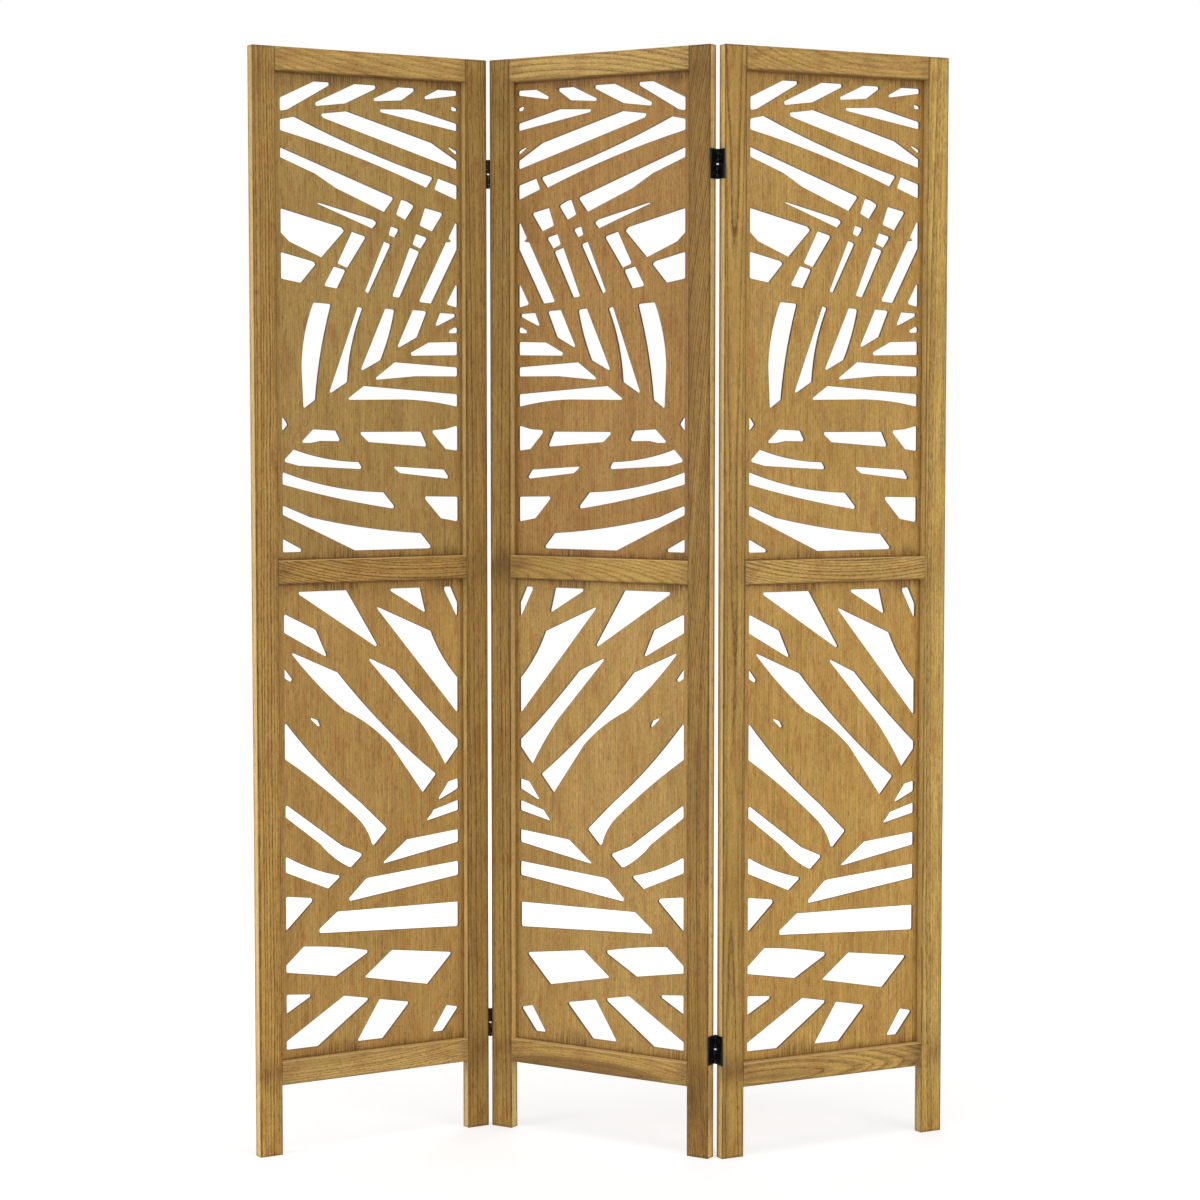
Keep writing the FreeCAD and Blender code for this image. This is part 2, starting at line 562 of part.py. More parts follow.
def screw_cone(name, fit, up="0"):
    """The conical seat or head of a screw, lying along X with its wide end at the leaf's outer face."""
    cone_sizes = {
        "Radius1": f"Sizes.screw_radius + {fit}",
        "Radius2": f"Sizes.screw_head_radius + {fit}",
        "Height": "Sizes.leaf_thickness",
    }
    return primitive("Part::Cone", name, cone_sizes, {"x": f"-{KNUCKLE_RADIUS}", "z": up}, SIDEWAYS)


def make_leaf(label):
    """A plate on a stile's side, with a knuckle in front of its upper half and one behind its lower half."""
    plate_sizes = {
        "Length": "Sizes.leaf_thickness",
        "Width": "Sizes.frame_thickness",
        "Height": "Sizes.hinge_height",
    }
    plate_base = {
        "x": f"-{KNUCKLE_RADIUS}",
        "y": "-Sizes.frame_thickness / 2",
        "z": "-Sizes.hinge_height / 2",
    }
    parts = [primitive("Part::Box", label + "_plate", plate_sizes, plate_base)]
    bores = []
    root = "(Sizes.frame_thickness / 2)"
    length = "Sizes.leaf_knuckle_length"
    for pin_side, level in (("-", HALF_CENTRE), ("+", f"-{HALF_CENTRE}")):
        name = label + ("_front" if pin_side == "-" else "_back")
        bottom = f"{level} - {length} / 2"
        parts += make_knuckle(
            name, pin_side, "Sizes.leaf_thickness", f"-{KNUCKLE_RADIUS}", root, bottom, length
        )
        bores.append(make_bore(name + "_bore", pin_side))
    for name, sign in ENDS.items():
        bores.append(screw_cone(f"{label}_{name}_seat", "Sizes.screw_fit", f"{sign}Sizes.screw_offset"))
    return cut(label, fuse(label + "_blank", parts), bores)


def make_link(label):
    """The middle plate of one hinge half, with a pair of knuckles on each of its two pin lines."""
    inner = "(Sizes.frame_thickness / 2 - Sizes.link_inset)"
    plate_sizes = {"Length": "Sizes.link_thickness", "Width": f"2 * {inner}", "Height": HALF_HEIGHT}
    plate_base = {"x": "-Sizes.link_thickness / 2", "y": f"-{inner}", "z": f"-{HALF_HEIGHT} / 2"}
    parts = [primitive("Part::Box", label + "_plate", plate_sizes, plate_base)]
    length = f"{HALF_HEIGHT} / 2 - {LINK_KNUCKLE_Z}"
    for pin_side in ("-", "+"):
        for end, bottom in (("low", f"-{HALF_HEIGHT} / 2"), ("high", LINK_KNUCKLE_Z)):
            name = f"{label}_{'front' if pin_side == '-' else 'back'}_{end}"
            parts += make_knuckle(
                name, pin_side, "Sizes.link_thickness", "-Sizes.link_thickness / 2", inner, bottom, length
            )
    bores = [make_bore(f"{label}_bore_{'front' if side == '-' else 'back'}", side) for side in ("-", "+")]
    return cut(label, fuse(label + "_blank", parts), bores)


def make_pin(label, base):
    pin_sizes = {"Radius": "Sizes.pin_radius", "Height": f"{HALF_HEIGHT} + 2 * Sizes.pin_overrun"}
    return primitive("Part::Cylinder", label, pin_sizes, base)


def make_screw(label):
    """A countersunk screw along X, with its head flush in the leaf and a straight slot."""
    head = screw_cone(label + "_head", "0")
    shank_sizes = {"Radius": "Sizes.screw_radius", "Height": "Sizes.screw_length - Sizes.leaf_thickness"}
    shank_base = {"x": f"-{KNUCKLE_RADIUS} - Sizes.screw_length + Sizes.leaf_thickness"}
    shank = primitive("Part::Cylinder", label + "_shank", shank_sizes, shank_base, SIDEWAYS)
    slot_sizes = {
        "Length": "Sizes.screw_slot_depth",
        "Width": "2 * (Sizes.screw_head_radius + Sizes.screw_fit)",
        "Height": "Sizes.screw_slot_width",
    }
    slot_base = {
        "x": f"-{KNUCKLE_RADIUS} + Sizes.leaf_thickness - Sizes.screw_slot_depth",
        "y": "-Sizes.screw_head_radius - Sizes.screw_fit",
        "z": "-Sizes.screw_slot_width / 2",
    }
    slot = primitive("Part::Box", label + "_slot", slot_sizes, slot_base)
    return cut(label, fuse(label + "_blank", [head, shank]), [slot])


def make_dowel(label, base):
    dowel_sizes = {"Radius": "Sizes.dowel_diameter / 2", "Height": "Sizes.dowel_length"}
    return primitive("Part::Cylinder", label, dowel_sizes, base, SIDEWAYS)


# Where each panel stands. The middle panel comes forward to the right, its neighbours go back to the right.
upright_axis = Vector(0, 0, 1)
left_axis = Vector(-fold_gap / 2, -size["knuckle_stand"])
right_axis = Vector(size["panel_width"] + fold_gap / 2, size["frame_thickness"] + size["knuckle_stand"])
left_axis_own = Vector(size["panel_width"] + fold_gap / 2, -size["knuckle_stand"])
right_axis_own = Vector(-fold_gap / 2, size["frame_thickness"] + size["knuckle_stand"])


def turned_about(axis_at, own_axis, degrees):
    """The placement of a panel whose own point lies on a place in the world."""
    rotation = Rotation(upright_axis, degrees)
    return Placement(axis_at - rotation.multVec(own_axis), rotation)


middle_place = Placement(Vector(), Rotation(upright_axis, -size["middle_turn"]))
left_fold = middle_place.multVec(left_axis)
right_fold = middle_place.multVec(right_axis)
panel_places = {
    "left": turned_about(left_fold, left_axis_own, size["left_turn"]),
    "middle": middle_place,
    "right": turned_about(right_fold, right_axis_own, size["right_turn"]),
}

parts = {}


def add_part(label, panel, members, place):
    """A part of one panel: pieces that stay separate solids, under one label and one placement."""
    part = doc.addObject("Part::Compound", label)
    part.Label = label
    part.Links = members
    parts[label] = (panel, part, place)


# The wood of the three panels
stile_x = {"left": 0.0, "right": size["panel_width"] - size["stile_width"]}
hinged_sides = {"left": ["right"], "middle": ["left", "right"], "right": ["left"]}
for panel in panel_places:
    for side, x in stile_x.items():
        hinged = side in hinged_sides[panel]
        name = f"{side}_stile_with_hinges" if hinged else f"{side}_stile"
        stile = pattern(name, make_stile, side == "left", hinged)
        add_part(f"{panel}_panel_{side}_stile", panel, [stile], Placement(Vector(x, 0, 0), UPRIGHT))
    for rail, level in rail_levels.items():
        bar = pattern(rail + "_rail", make_rail, rail != "bottom", rail != "top")
        place = Placement(Vector(size["stile_width"], 0, level), UPRIGHT)
        add_part(f"{panel}_panel_{rail}_rail", panel, [bar], place)
    for window, level in window_levels.items():
        if panel == "middle":
            board = pattern(window + "_mirrored_board", make_mirrored_board, window)
        else:
            board = pattern(window + "_board", make_board, window)
        place = Placement(Vector(size["stile_width"], 0, level), UPRIGHT)
        add_part(f"{panel}_panel_{window}_fretwork", panel, [board], place)

# The dowels, two in each end of each rail
joints = {"left": "Sizes.stile_width", "right": "(Sizes.panel_width - Sizes.stile_width)"}
for panel in panel_places:
    members = []
    for rail, level in RAILS.items():
        for side, joint in joints.items():
            for end, sign in ENDS.items():
                base = {
                    "x": f"{joint} - Sizes.dowel_length / 2",
                    "y": DOWEL_Y,
                    "z": f"{level} + Sizes.rail_height / 2 {sign} Sizes.dowel_spacing / 2",
                }
                members.append(make_dowel(f"{panel}_panel_{rail}_{side}_{end}_dowel", base))
    add_part(f"{panel}_panel_dowels", panel, members, Placement())

# The hinges. A fold's first panel has the hinge on its right side, its second panel on its left side.
hinge_y = size["frame_thickness"] / 2
hinge_sides = {
    "first": (f"(Sizes.panel_width + {FOLD_GAP} / 2)", size["panel_width"] + fold_gap / 2, UPRIGHT, "-"),
    "second": (f"(-{FOLD_GAP} / 2)", -fold_gap / 2, HALF_TURN, "+"),
}
folds = {"left_fold": ("left", "middle"), "right_fold": ("middle", "right")}
pins = {panel: [] for panel in panel_places}
screws = {panel: [] for panel in panel_places}
for fold, fold_panels in folds.items():
    for level_name, level in hinge_levels.items():
        places = {}
        for panel, (x_text, x, rotation, upper_pin_side) in zip(fold_panels, hinge_sides.values()):
            places[panel] = Placement(Vector(x, hinge_y, level), rotation)
            label = f"{fold}_{level_name}_hinge_{panel}_leaf"
            add_part(label, panel, [pattern("leaf", make_leaf)], places[panel])
            lower_pin_side = "-" if upper_pin_side == "+" else "+"
            for half, sign, pin_side in (("lower", "-", lower_pin_side), ("upper", "+", upper_pin_side)):
                middle = f"{HINGES[level_name]} {sign} {HALF_CENTRE}"
                base = {
                    "x": x_text,
                    "y": f"Sizes.frame_thickness / 2 {pin_side} {PIN_Y}",
                    "z": f"{middle} - {HALF_HEIGHT} / 2 - Sizes.pin_overrun",
                }
                pins[panel].append(make_pin(f"{label}_{half}_pin", base))
            for end, sign in ENDS.items():
                base = {
                    "x": x_text,
                    "y": "Sizes.frame_thickness / 2",
                    "z": f"{HINGES[level_name]} {sign} Sizes.screw_offset",
                }
                screw = doc.addObject("Part::Compound", f"{label}_{end}_screw")
                screw.Links = [pattern("screw", make_screw)]
                screws[panel].append(put(screw, base, rotation))
        # The upper link stays square to the middle panel, the lower link to the panel that folds on it
        outer_panel = next(panel for panel in fold_panels if panel != "middle")
        for half, panel, sign in (("upper", "middle", 1), ("lower", outer_panel, -1)):
            label = f"{fold}_{level_name}_hinge_{half}_link"
            at = Placement(Vector(0, 0, sign * half_centre), UPRIGHT)
            add_part(label, panel, [pattern("link", make_link)], places[panel].multiply(at))
for panel in panel_places:
    add_part(f"{panel}_panel_hinge_pins", panel, pins[panel], Placement())
    add_part(f"{panel}_panel_hinge_screws", panel, screws[panel], Placement())
doc.recompute()

# Stand the panels in their zigzag, with the whole screen centred on its foot
box = FreeCAD.BoundBox()
for panel, part, place in parts.values():
    standing = part.Shape.copy()
    standing.Placement = panel_places[panel].multiply(place)
    box.add(standing.BoundBox)
shift = Vector(-box.Center.x, -box.Center.y, 0)
for panel, part, place in parts.values():
    part.Placement = Placement(shift, UPRIGHT).multiply(panel_places[panel]).multiply(place)
doc.recompute()

for item in doc.Objects:
    if "Invalid" in item.State or "Error" in item.State:
        raise RuntimeError(f"{item.Label} did not build: {item.State}")
for label, (panel, part, place) in parts.items():
    if part.Shape.isNull() or not part.Shape.isValid() or not part.Shape.Solids:
        raise RuntimeError(f"{label} has no valid solid")

os.makedirs("parts", exist_ok=True)
for label, (panel, part, place) in parts.items():
    part.Shape.exportStep(f"parts/{label}.step")

for name, point in (("left fold", left_fold + shift), ("right fold", right_fold + shift)):
    print(f"{name} axis x {point.x:.4f} y {point.y:.4f}")
for panel, place in panel_places.items():
    corner = place.Base + shift
    print(f"{panel} panel corner x {corner.x:.4f} y {corner.y:.4f}")
print(f"{len(parts)} parts, whole size {box.XLength:.2f} {box.YLength:.2f} {box.ZLength:.2f}")
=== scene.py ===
import math

import bpy
from mathutils import Matrix, Vector


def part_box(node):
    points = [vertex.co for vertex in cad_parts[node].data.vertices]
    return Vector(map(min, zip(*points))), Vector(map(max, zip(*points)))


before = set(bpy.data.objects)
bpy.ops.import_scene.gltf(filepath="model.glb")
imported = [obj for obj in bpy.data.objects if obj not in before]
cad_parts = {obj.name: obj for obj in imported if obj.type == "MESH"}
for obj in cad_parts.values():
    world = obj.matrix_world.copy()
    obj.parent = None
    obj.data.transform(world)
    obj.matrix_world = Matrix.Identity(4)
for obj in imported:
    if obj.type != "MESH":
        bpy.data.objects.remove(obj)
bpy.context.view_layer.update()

PANEL_WIDTH = 0.400
STILE_WIDTH = 0.038
WINDOW_WIDTH = PANEL_WIDTH - 2 * STILE_WIDTH
THICKNESS = 0.018
BOARD_DEPTH = 0.014

# The bottom front left corner of each panel on the floor, and its turn about the vertical in degrees
PANELS = {
    "left": ((-0.5299655, -0.1051819), 30.5),
    "middle": ((-0.1808518, 0.0977867), -31.7),
    "right": ((0.1813986, -0.1133785), 26.6),
}


def levels(node):
    """The heights of a node's underside and top."""
    low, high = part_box(node)
    return low[2], high[2]


PANEL_HEIGHT = levels("left_panel_left_stile")[1]
# All panels have their rails at the same heights, and each window lies between two rails
RAIL_LEVELS = {rail: levels(f"left_panel_{rail}_rail") for rail in ("bottom", "middle", "top")}
WINDOW_LEVELS = {
    "lower": (RAIL_LEVELS["bottom"][1], RAIL_LEVELS["middle"][0]),
    "upper": (RAIL_LEVELS["middle"][1], RAIL_LEVELS["top"][0]),
}


def add_node(tree, kind, inputs=(), **settings):
    """A node with its settings, and with a value or a socket for each named or numbered input."""
    node = tree.nodes.new(kind)
    for key, setting in settings.items():
        setattr(node, key, setting)
    for key, source in dict(inputs).items():
        if isinstance(source, bpy.types.NodeSocket):
            tree.links.new(source, node.inputs[key])
        else:
            node.inputs[key].default_value = source
    return node


def calc(tree, operation, *operands, clamp=False):
    node = add_node(tree, "ShaderNodeMath", enumerate(operands), operation=operation, use_clamp=clamp)
    return node.outputs[0]


def calc_vector(tree, operation, *operands):
    node = add_node(tree, "ShaderNodeVectorMath", enumerate(operands), operation=operation)
    return node.outputs["Value" if operation in ("LENGTH", "DOT_PRODUCT") else "Vector"]


def split(tree, vector):
    return add_node(tree, "ShaderNodeSeparateXYZ", {0: vector}).outputs


def join(tree, across, through, along):
    return add_node(tree, "ShaderNodeCombineXYZ", {0: across, 1: through, 2: along}).outputs[0]


def blend(tree, factor, first, second, kind="MIX"):
    """Mixes two colours, each of them a socket or red, green and blue."""
    inputs = {0: factor}
    # The Mix node's sixth and seventh inputs are its two colours
    for number, shade in ((6, first), (7, second)):
        inputs[number] = shade if isinstance(shade, bpy.types.NodeSocket) else (*shade, 1)
    return add_node(tree, "ShaderNodeMix", inputs, data_type="RGBA", blend_type=kind).outputs[2]


def tinted(colour, tone):
    """A colour multiplied by a tone, part by part."""
    return tuple(part * share for part, share in zip(colour, tone))


def noise(tree, place, scales, detail, roughness, output="Fac"):
    """Noise in space. The scales say about how often a metre it changes along each axis."""
    inputs = {
        "Vector": calc_vector(tree, "MULTIPLY", place, scales),
        "Scale": 1.0,
        "Detail": detail,
        "Roughness": roughness,
    }
    return add_node(tree, "ShaderNodeTexNoise", inputs).outputs[output]


def line_noise(tree, amount, scale, detail):
    """Noise along a single number."""
    inputs = {"W": amount, "Scale": scale, "Detail": detail}
    return add_node(tree, "ShaderNodeTexNoise", inputs, noise_dimensions="1D").outputs["Fac"]


def ramp(tree, factor, stops):
    """Turns a factor into a grey or a colour by (place, value) stops."""
    node = add_node(tree, "ShaderNodeValToRGB", {"Fac": factor})
    elements = node.color_ramp.elements
    while len(elements) < len(stops):
        elements.new(1.0)
    for element, (place, shade) in zip(elements, stops):
        element.position = place
        element.color = (shade, shade, shade, 1) if isinstance(shade, float) else (*shade, 1)
    return node.outputs["Color"]


def step_ramp(tree, amount, start, end, height=1.0):
    """Climbs smoothly from 0 at the start to the height at the end. The end may be the smaller amount."""
    inputs = {"Value": amount, "From Min": start, "From Max": end, "To Max": height}
    node = add_node(tree, "ShaderNodeMapRange", inputs, interpolation_type="SMOOTHSTEP")
    return node.outputs["Result"]


def patch(tree, amount, centre, half, height):
    """A soft patch around one place of an amount."""
    away = calc(tree, "ABSOLUTE", calc(tree, "SUBTRACT", amount, centre))
    return step_ramp(tree, away, half, 0.0, height)


def nearest_end(tree, amount, length):
    """How far an amount is from the nearer end of a length."""
    return calc(tree, "MINIMUM", amount, calc(tree, "SUBTRACT", length, amount))


def strongest(tree, amounts):
    """The largest of some amounts."""
    result = amounts[0]
    for amount in amounts[1:]:
        result = calc(tree, "MAXIMUM", result, amount)
    return result


# Each noise is (scales, detail, roughness). The scales say how often a metre it changes, here across the
# grain, through the piece and along the grain.
BEND_NOISE = ((14.0, 14.0, 2.2), 2.0, 0.5)
WAVE_NOISE = ((60.0, 60.0, 16.0), 2.0, 0.5)
FIBRE_NOISE = ((330.0, 330.0, 11.0), 4.0, 0.72)
SPECK_NOISE = ((620.0, 620.0, 300.0), 1.0, 0.6)
CLOUD_NOISE = ((26.0, 26.0, 5.0), 3.0, 0.55)
HUE_NOISE = ((75.0, 75.0, 20.0), 3.0, 0.65)
DASH_SCALE, DASH_DETAIL, DASH_ROUGHNESS = 520.0, 2.0, 0.6
# Colour noise lies around this grey, and the waves reach this far next to the bends
NOISE_MIDDLE = (0.5, 0.5, 0.5)
WAVE_REACH = (0.10, 0.10, 0.0)
# How dark the wood is in the course of one year: pale early wood, then the late line
YEAR_SHAPE = [(0.0, 0.50), (0.10, 0.02), (0.52, 0.08), (0.76, 0.50), (0.88, 1.0), (1.0, 0.50)]
# By how many years uneven growth moves the lines at most, and its noise as (how often a year, detail)
YEAR_SPREAD = 2.6
YEAR_SPREAD_NOISE = (0.33, 1.0)
# How much fainter the faintest line is, and its noise
LINE_FAINTNESS = 0.70
LINE_FAINTNESS_NOISE = (0.71, 0.0)
# The fine specks' share in the fibres
SPECK_SHARE = 0.38
# Steps in noise and in the year, as (start, end, height), each over the least value below it
FAINT_STEP = (0.70, 0.30)
PORE_STEP = (0.54, 0.66)
BROKEN_STEP = (0.38, 0.58, 0.52)
BROKEN_LEAST = 0.62
NEAR_LINE_STEP = (0.45, 0.95, 0.55)
NEAR_LINE_LEAST = 0.45


def make_timber_group():
    """Growth lines, fibres and pores in wood whose grain runs along Z. The vector is in metres."""
    tree = bpy.data.node_groups.new("timber", "ShaderNodeTree")
    for name in ("Vector", "Offset", "Heart"):
        tree.interface.new_socket(name, in_out="INPUT", socket_type="NodeSocketVector")
    for name in ("Pitch", "Taper", "Bow", "Wobble", "Unevenness", "Narrowness", "Shortness"):
        tree.interface.new_socket(name, in_out="INPUT", socket_type="NodeSocketFloat")
    for name in ("Growth", "Fibre", "Pores", "Cloud", "Radius"):
        tree.interface.new_socket(name, in_out="OUTPUT", socket_type="NodeSocketFloat")
    entry = tree.nodes.new("NodeGroupInput").outputs
    result = tree.nodes.new("NodeGroupOutput").inputs
    place = calc_vector(tree, "ADD", entry["Vector"], entry["Offset"])

    # Slow bends of the growth lines, and finer waves on them
    bend = calc_vector(tree, "SUBTRACT", noise(tree, place, *BEND_NOISE, output="Color"), NOISE_MIDDLE)
    wave = calc_vector(tree, "SUBTRACT", noise(tree, place, *WAVE_NOISE, output="Color"), NOISE_MIDDLE)
    bent = calc_vector(tree, "MULTIPLY_ADD", wave, WAVE_REACH, bend)
    wobble = entry["Wobble"]
    swayed = calc_vector(tree, "MULTIPLY", bent, join(tree, wobble, wobble, wobble))
    moved = calc_vector(tree, "ADD", entry["Vector"], swayed)

    # The radius is counted from the heart of the log, which tapers and bows along the grain
    from_heart = calc_vector(tree, "SUBTRACT", moved, entry["Heart"])
    rise = split(tree, from_heart)["Z"]
    flat = calc_vector(tree, "MULTIPLY", from_heart, (1.0, 1.0, 0.0))
    radius = calc(tree, "MULTIPLY_ADD", rise, entry["Taper"], calc_vector(tree, "LENGTH", flat))
    radius = calc(tree, "MULTIPLY_ADD", calc(tree, "MULTIPLY", rise, rise), entry["Bow"], radius)
    tree.links.new(radius, result["Radius"])

    years = calc(tree, "DIVIDE", radius, entry["Pitch"])
    spread = calc(tree, "MULTIPLY", entry["Unevenness"], YEAR_SPREAD)
    years = calc(tree, "MULTIPLY_ADD", line_noise(tree, years, *YEAR_SPREAD_NOISE), spread, years)
    year = calc(tree, "POWER", calc(tree, "FRACT", years), entry["Narrowness"])
    line = ramp(tree, year, YEAR_SHAPE)
    whole_year = calc(tree, "FLOOR", years)
    faintness = step_ramp(tree, line_noise(tree, whole_year, *LINE_FAINTNESS_NOISE), *FAINT_STEP)
    faintness = calc(tree, "MULTIPLY", faintness, entry["Unevenness"])
    growth = calc(tree, "MULTIPLY", line, calc(tree, "MULTIPLY_ADD", faintness, -LINE_FAINTNESS, 1.0))

    # Pores are short dark dashes. They lie thick in the growth lines, which they break up.
    dash_scales = join(tree, DASH_SCALE, DASH_SCALE, entry["Shortness"])
    dashes = noise(tree, place, dash_scales, DASH_DETAIL, DASH_ROUGHNESS)
    broken = calc(tree, "ADD", step_ramp(tree, dashes, *BROKEN_STEP), BROKEN_LEAST)
    tree.links.new(calc(tree, "MULTIPLY", growth, broken), result["Growth"])
    near_line = calc(tree, "ADD", step_ramp(tree, year, *NEAR_LINE_STEP), NEAR_LINE_LEAST)
    pores = calc(tree, "MULTIPLY", step_ramp(tree, dashes, *PORE_STEP), near_line)
    tree.links.new(pores, result["Pores"])

    fibre = calc(tree, "MULTIPLY", noise(tree, place, *FIBRE_NOISE), 1.0 - SPECK_SHARE)
    fibre = calc(tree, "MULTIPLY_ADD", noise(tree, place, *SPECK_NOISE), SPECK_SHARE, fibre)
    tree.links.new(fibre, result["Fibre"])
    tree.links.new(noise(tree, place, *CLOUD_NOISE), result["Cloud"])
    return tree


timber = make_timber_group()


def panel_place(tree, panel):
    """The place on a panel, in metres from its bottom front left corner, however the panel is turned."""
    (corner_x, corner_y), turn = PANELS[panel]
    turning = Matrix.Rotation(math.radians(turn), 4, "Z")
    into_panel = (Matrix.Translation((corner_x, corner_y, 0)) @ turning).inverted()
    mapping = {
        "Vector": add_node(tree, "ShaderNodeTexCoord").outputs["Object"],
        "Location": into_panel.to_translation(),
        "Rotation": into_panel.to_euler(),
    }
    return add_node(tree, "ShaderNodeMapping", mapping, vector_type="POINT").outputs["Vector"]


def panel_normal(tree, panel):
    """The surface's own direction, in the panel's frame of reference."""
    mapping = {
        "Vector": add_node(tree, "ShaderNodeTexCoord").outputs["Normal"],
        "Rotation": (0, 0, -math.radians(PANELS[panel][1])),
    }
    return add_node(tree, "ShaderNodeMapping", mapping, vector_type="POINT").outputs["Vector"]


BEVEL_SAMPLES = 6


def worn_edge(tree, radius, reach, height=1.0):
    """The height along sharp outer edges, 0 away from them."""
    own = add_node(tree, "ShaderNodeNewGeometry").outputs["Normal"]
    bevel = add_node(tree, "ShaderNodeBevel", {"Radius": radius}, samples=BEVEL_SAMPLES)
    likeness = calc_vector(tree, "DOT_PRODUCT", own, bevel.outputs["Normal"])
    return step_ramp(tree, likeness, 1.0, 1.0 - reach, height)


# How far a seed moves the wood's noise along each axis
SEED_STEPS = (1.37, 2.11, 3.71)
# Tones on the middle colour for reddish and greenish wood, and on the dark colour for pores, and for burns
# and painted shade
RUDDY = (0.92, 0.75, 0.72)
OLIVE = (1.08, 1.18, 1.02)
PORE_TONE = (0.70, 0.65, 0.60)
BURN_AND_SHADE_TONE = (0.48, 0.36, 0.30)
PORE_AMOUNT = 0.58
# The steps in their noise by which the middle colour and the reddish and greenish tones come in
CLOUD_STEP = (0.30, 0.72)
RUDDY_STEP = (0.48, 0.68, 0.75)
OLIVE_STEP = (0.50, 0.34, 0.60)
HEARTWOOD_BLUR = 0.0025
# How much the fibres lighten and darken the wood
FIBRE_CONTRAST = 1.70
FIBRE_BASE = 0.15
# The surface's roughness, and what growth lines and fibres add to it
WOOD_ROUGHNESS = 0.46
LINE_ROUGHNESS = 0.08
FIBRE_ROUGHNESS = 0.16
WOOD_SPECULAR = 0.22
# The relief in metres, and how deep pores and growth lines lie in it next to the fibres
WOOD_BUMP = 0.35
WOOD_RELIEF = 0.00025
PORE_DEPTH = 0.80
LINE_DEPTH = 0.35


def shade_wood(
    tree, grain_vector, seed, figure, colours, contrast, stain_and_shade, edge,
    bare_and_lit=None, heartwood=None, lightness=1.0,
):
    """Finishes a wood material. The stain and the edge run from 0, clean, to 1, burnt dark; the stain also
    carries painted shade, in the same dark colour.

    The figure holds the timber group's own inputs. The contrast is how dark the growth lines are.
    Bare is how far the wood goes to a plain pale colour, and that colour: sanded wood with painted light
    on the sides of the stiles, and a painted highlight on the ledges. Heartwood is the radius within which
    the wood is dark, and how dark.
    """
    inputs = {"Vector": grain_vector, "Offset": tuple(seed * step for step in SEED_STEPS), **figure}
    grain = add_node(tree, "ShaderNodeGroup", inputs, node_tree=timber).outputs
    growth, fibre, pores = grain["Growth"], grain["Fibre"], grain["Pores"]
    light, middle, dark = colours
    burn_and_shade = tinted(dark, BURN_AND_SHADE_TONE)

    body = blend(tree, step_ramp(tree, grain["Cloud"], *CLOUD_STEP), light, middle)
    hue = noise(tree, grain_vector, *HUE_NOISE)
    body = blend(tree, step_ramp(tree, hue, *RUDDY_STEP), body, tinted(middle, RUDDY))
    body = blend(tree, step_ramp(tree, hue, *OLIVE_STEP), body, tinted(middle, OLIVE))
    body = blend(tree, calc(tree, "MULTIPLY", growth, contrast, clamp=True), body, dark)
    if heartwood is not None:
        limit, strength = heartwood
        inside = step_ramp(tree, grain["Radius"], limit, limit - HEARTWOOD_BLUR, strength)
        body = blend(tree, inside, body, dark)
    if bare_and_lit is not None:
        amount, colour = bare_and_lit
        body = blend(tree, amount, body, colour)
    streak = calc(tree, "MULTIPLY_ADD", fibre, FIBRE_CONTRAST, FIBRE_BASE)
    streak = calc(tree, "MULTIPLY", streak, lightness)
    grey = add_node(tree, "ShaderNodeCombineColor", {0: streak, 1: streak, 2: streak}).outputs[0]
    body = blend(tree, 1.0, body, grey, "MULTIPLY")
    body = blend(tree, calc(tree, "MULTIPLY", pores, PORE_AMOUNT), body, tinted(dark, PORE_TONE))
    body = blend(tree, stain_and_shade, body, burn_and_shade)
    body = blend(tree, edge, body, burn_and_shade)

    height = calc(tree, "MULTIPLY_ADD", pores, -PORE_DEPTH, fibre)
    height = calc(tree, "MULTIPLY_ADD", growth, -LINE_DEPTH, height)
    bump_inputs = {"Strength": WOOD_BUMP, "Distance": WOOD_RELIEF, "Height": height}
    bump = add_node(tree, "ShaderNodeBump", bump_inputs)
    rough = calc(tree, "MULTIPLY_ADD", growth, LINE_ROUGHNESS, WOOD_ROUGHNESS)
    rough = calc(tree, "MULTIPLY_ADD", fibre, FIBRE_ROUGHNESS, rough)
    shader = tree.nodes["Principled BSDF"]
    tree.links.new(body, shader.inputs["Base Color"])
    tree.links.new(rough, shader.inputs["Roughness"])
    tree.links.new(bump.outputs["Normal"], shader.inputs["Normal"])
    shader.inputs["Specular IOR Level"].default_value = WOOD_SPECULAR


def new_material(name):
    material = bpy.data.materials.new(name)
    material.use_nodes = True
    return material


def paint(node, material):
    """Puts a material on every slot of a node."""
    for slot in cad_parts[node].material_slots:
        slot.material = material


# The light, middle and dark colours of each kind of piece
STILE_COLOURS = ((0.57, 0.345, 0.087), (0.45, 0.261, 0.058), (0.165, 0.080, 0.018))
RAIL_COLOURS = ((0.56, 0.345, 0.102), (0.44, 0.260, 0.070), (0.165, 0.082, 0.021))
BOARD_COLOURS = ((0.52, 0.318, 0.090), (0.44, 0.256, 0.066), (0.20, 0.100, 0.026))

# Each stile's tone in red, green and blue, its seed, its line contrast and how much lighter its foot is
# than its head
STILES = {
    ("left", "left"): ((1.00, 0.98, 0.98), 1.0, 1.45, 0.28),
    ("left", "right"): ((0.72, 0.70, 0.67), 2.0, 1.15, 0.10),
    ("middle", "left"): ((0.79, 0.79, 0.80), 3.0, 1.35, 0.28),
    ("middle", "right"): ((0.68, 0.65, 0.59), 4.0, 1.60, 0.24),
    ("right", "left"): ((0.91, 0.91, 0.87), 5.0, 1.30, -0.06),
    ("right", "right"): ((1.20, 1.28, 1.33), 6.0, 1.15, 0.00),
}
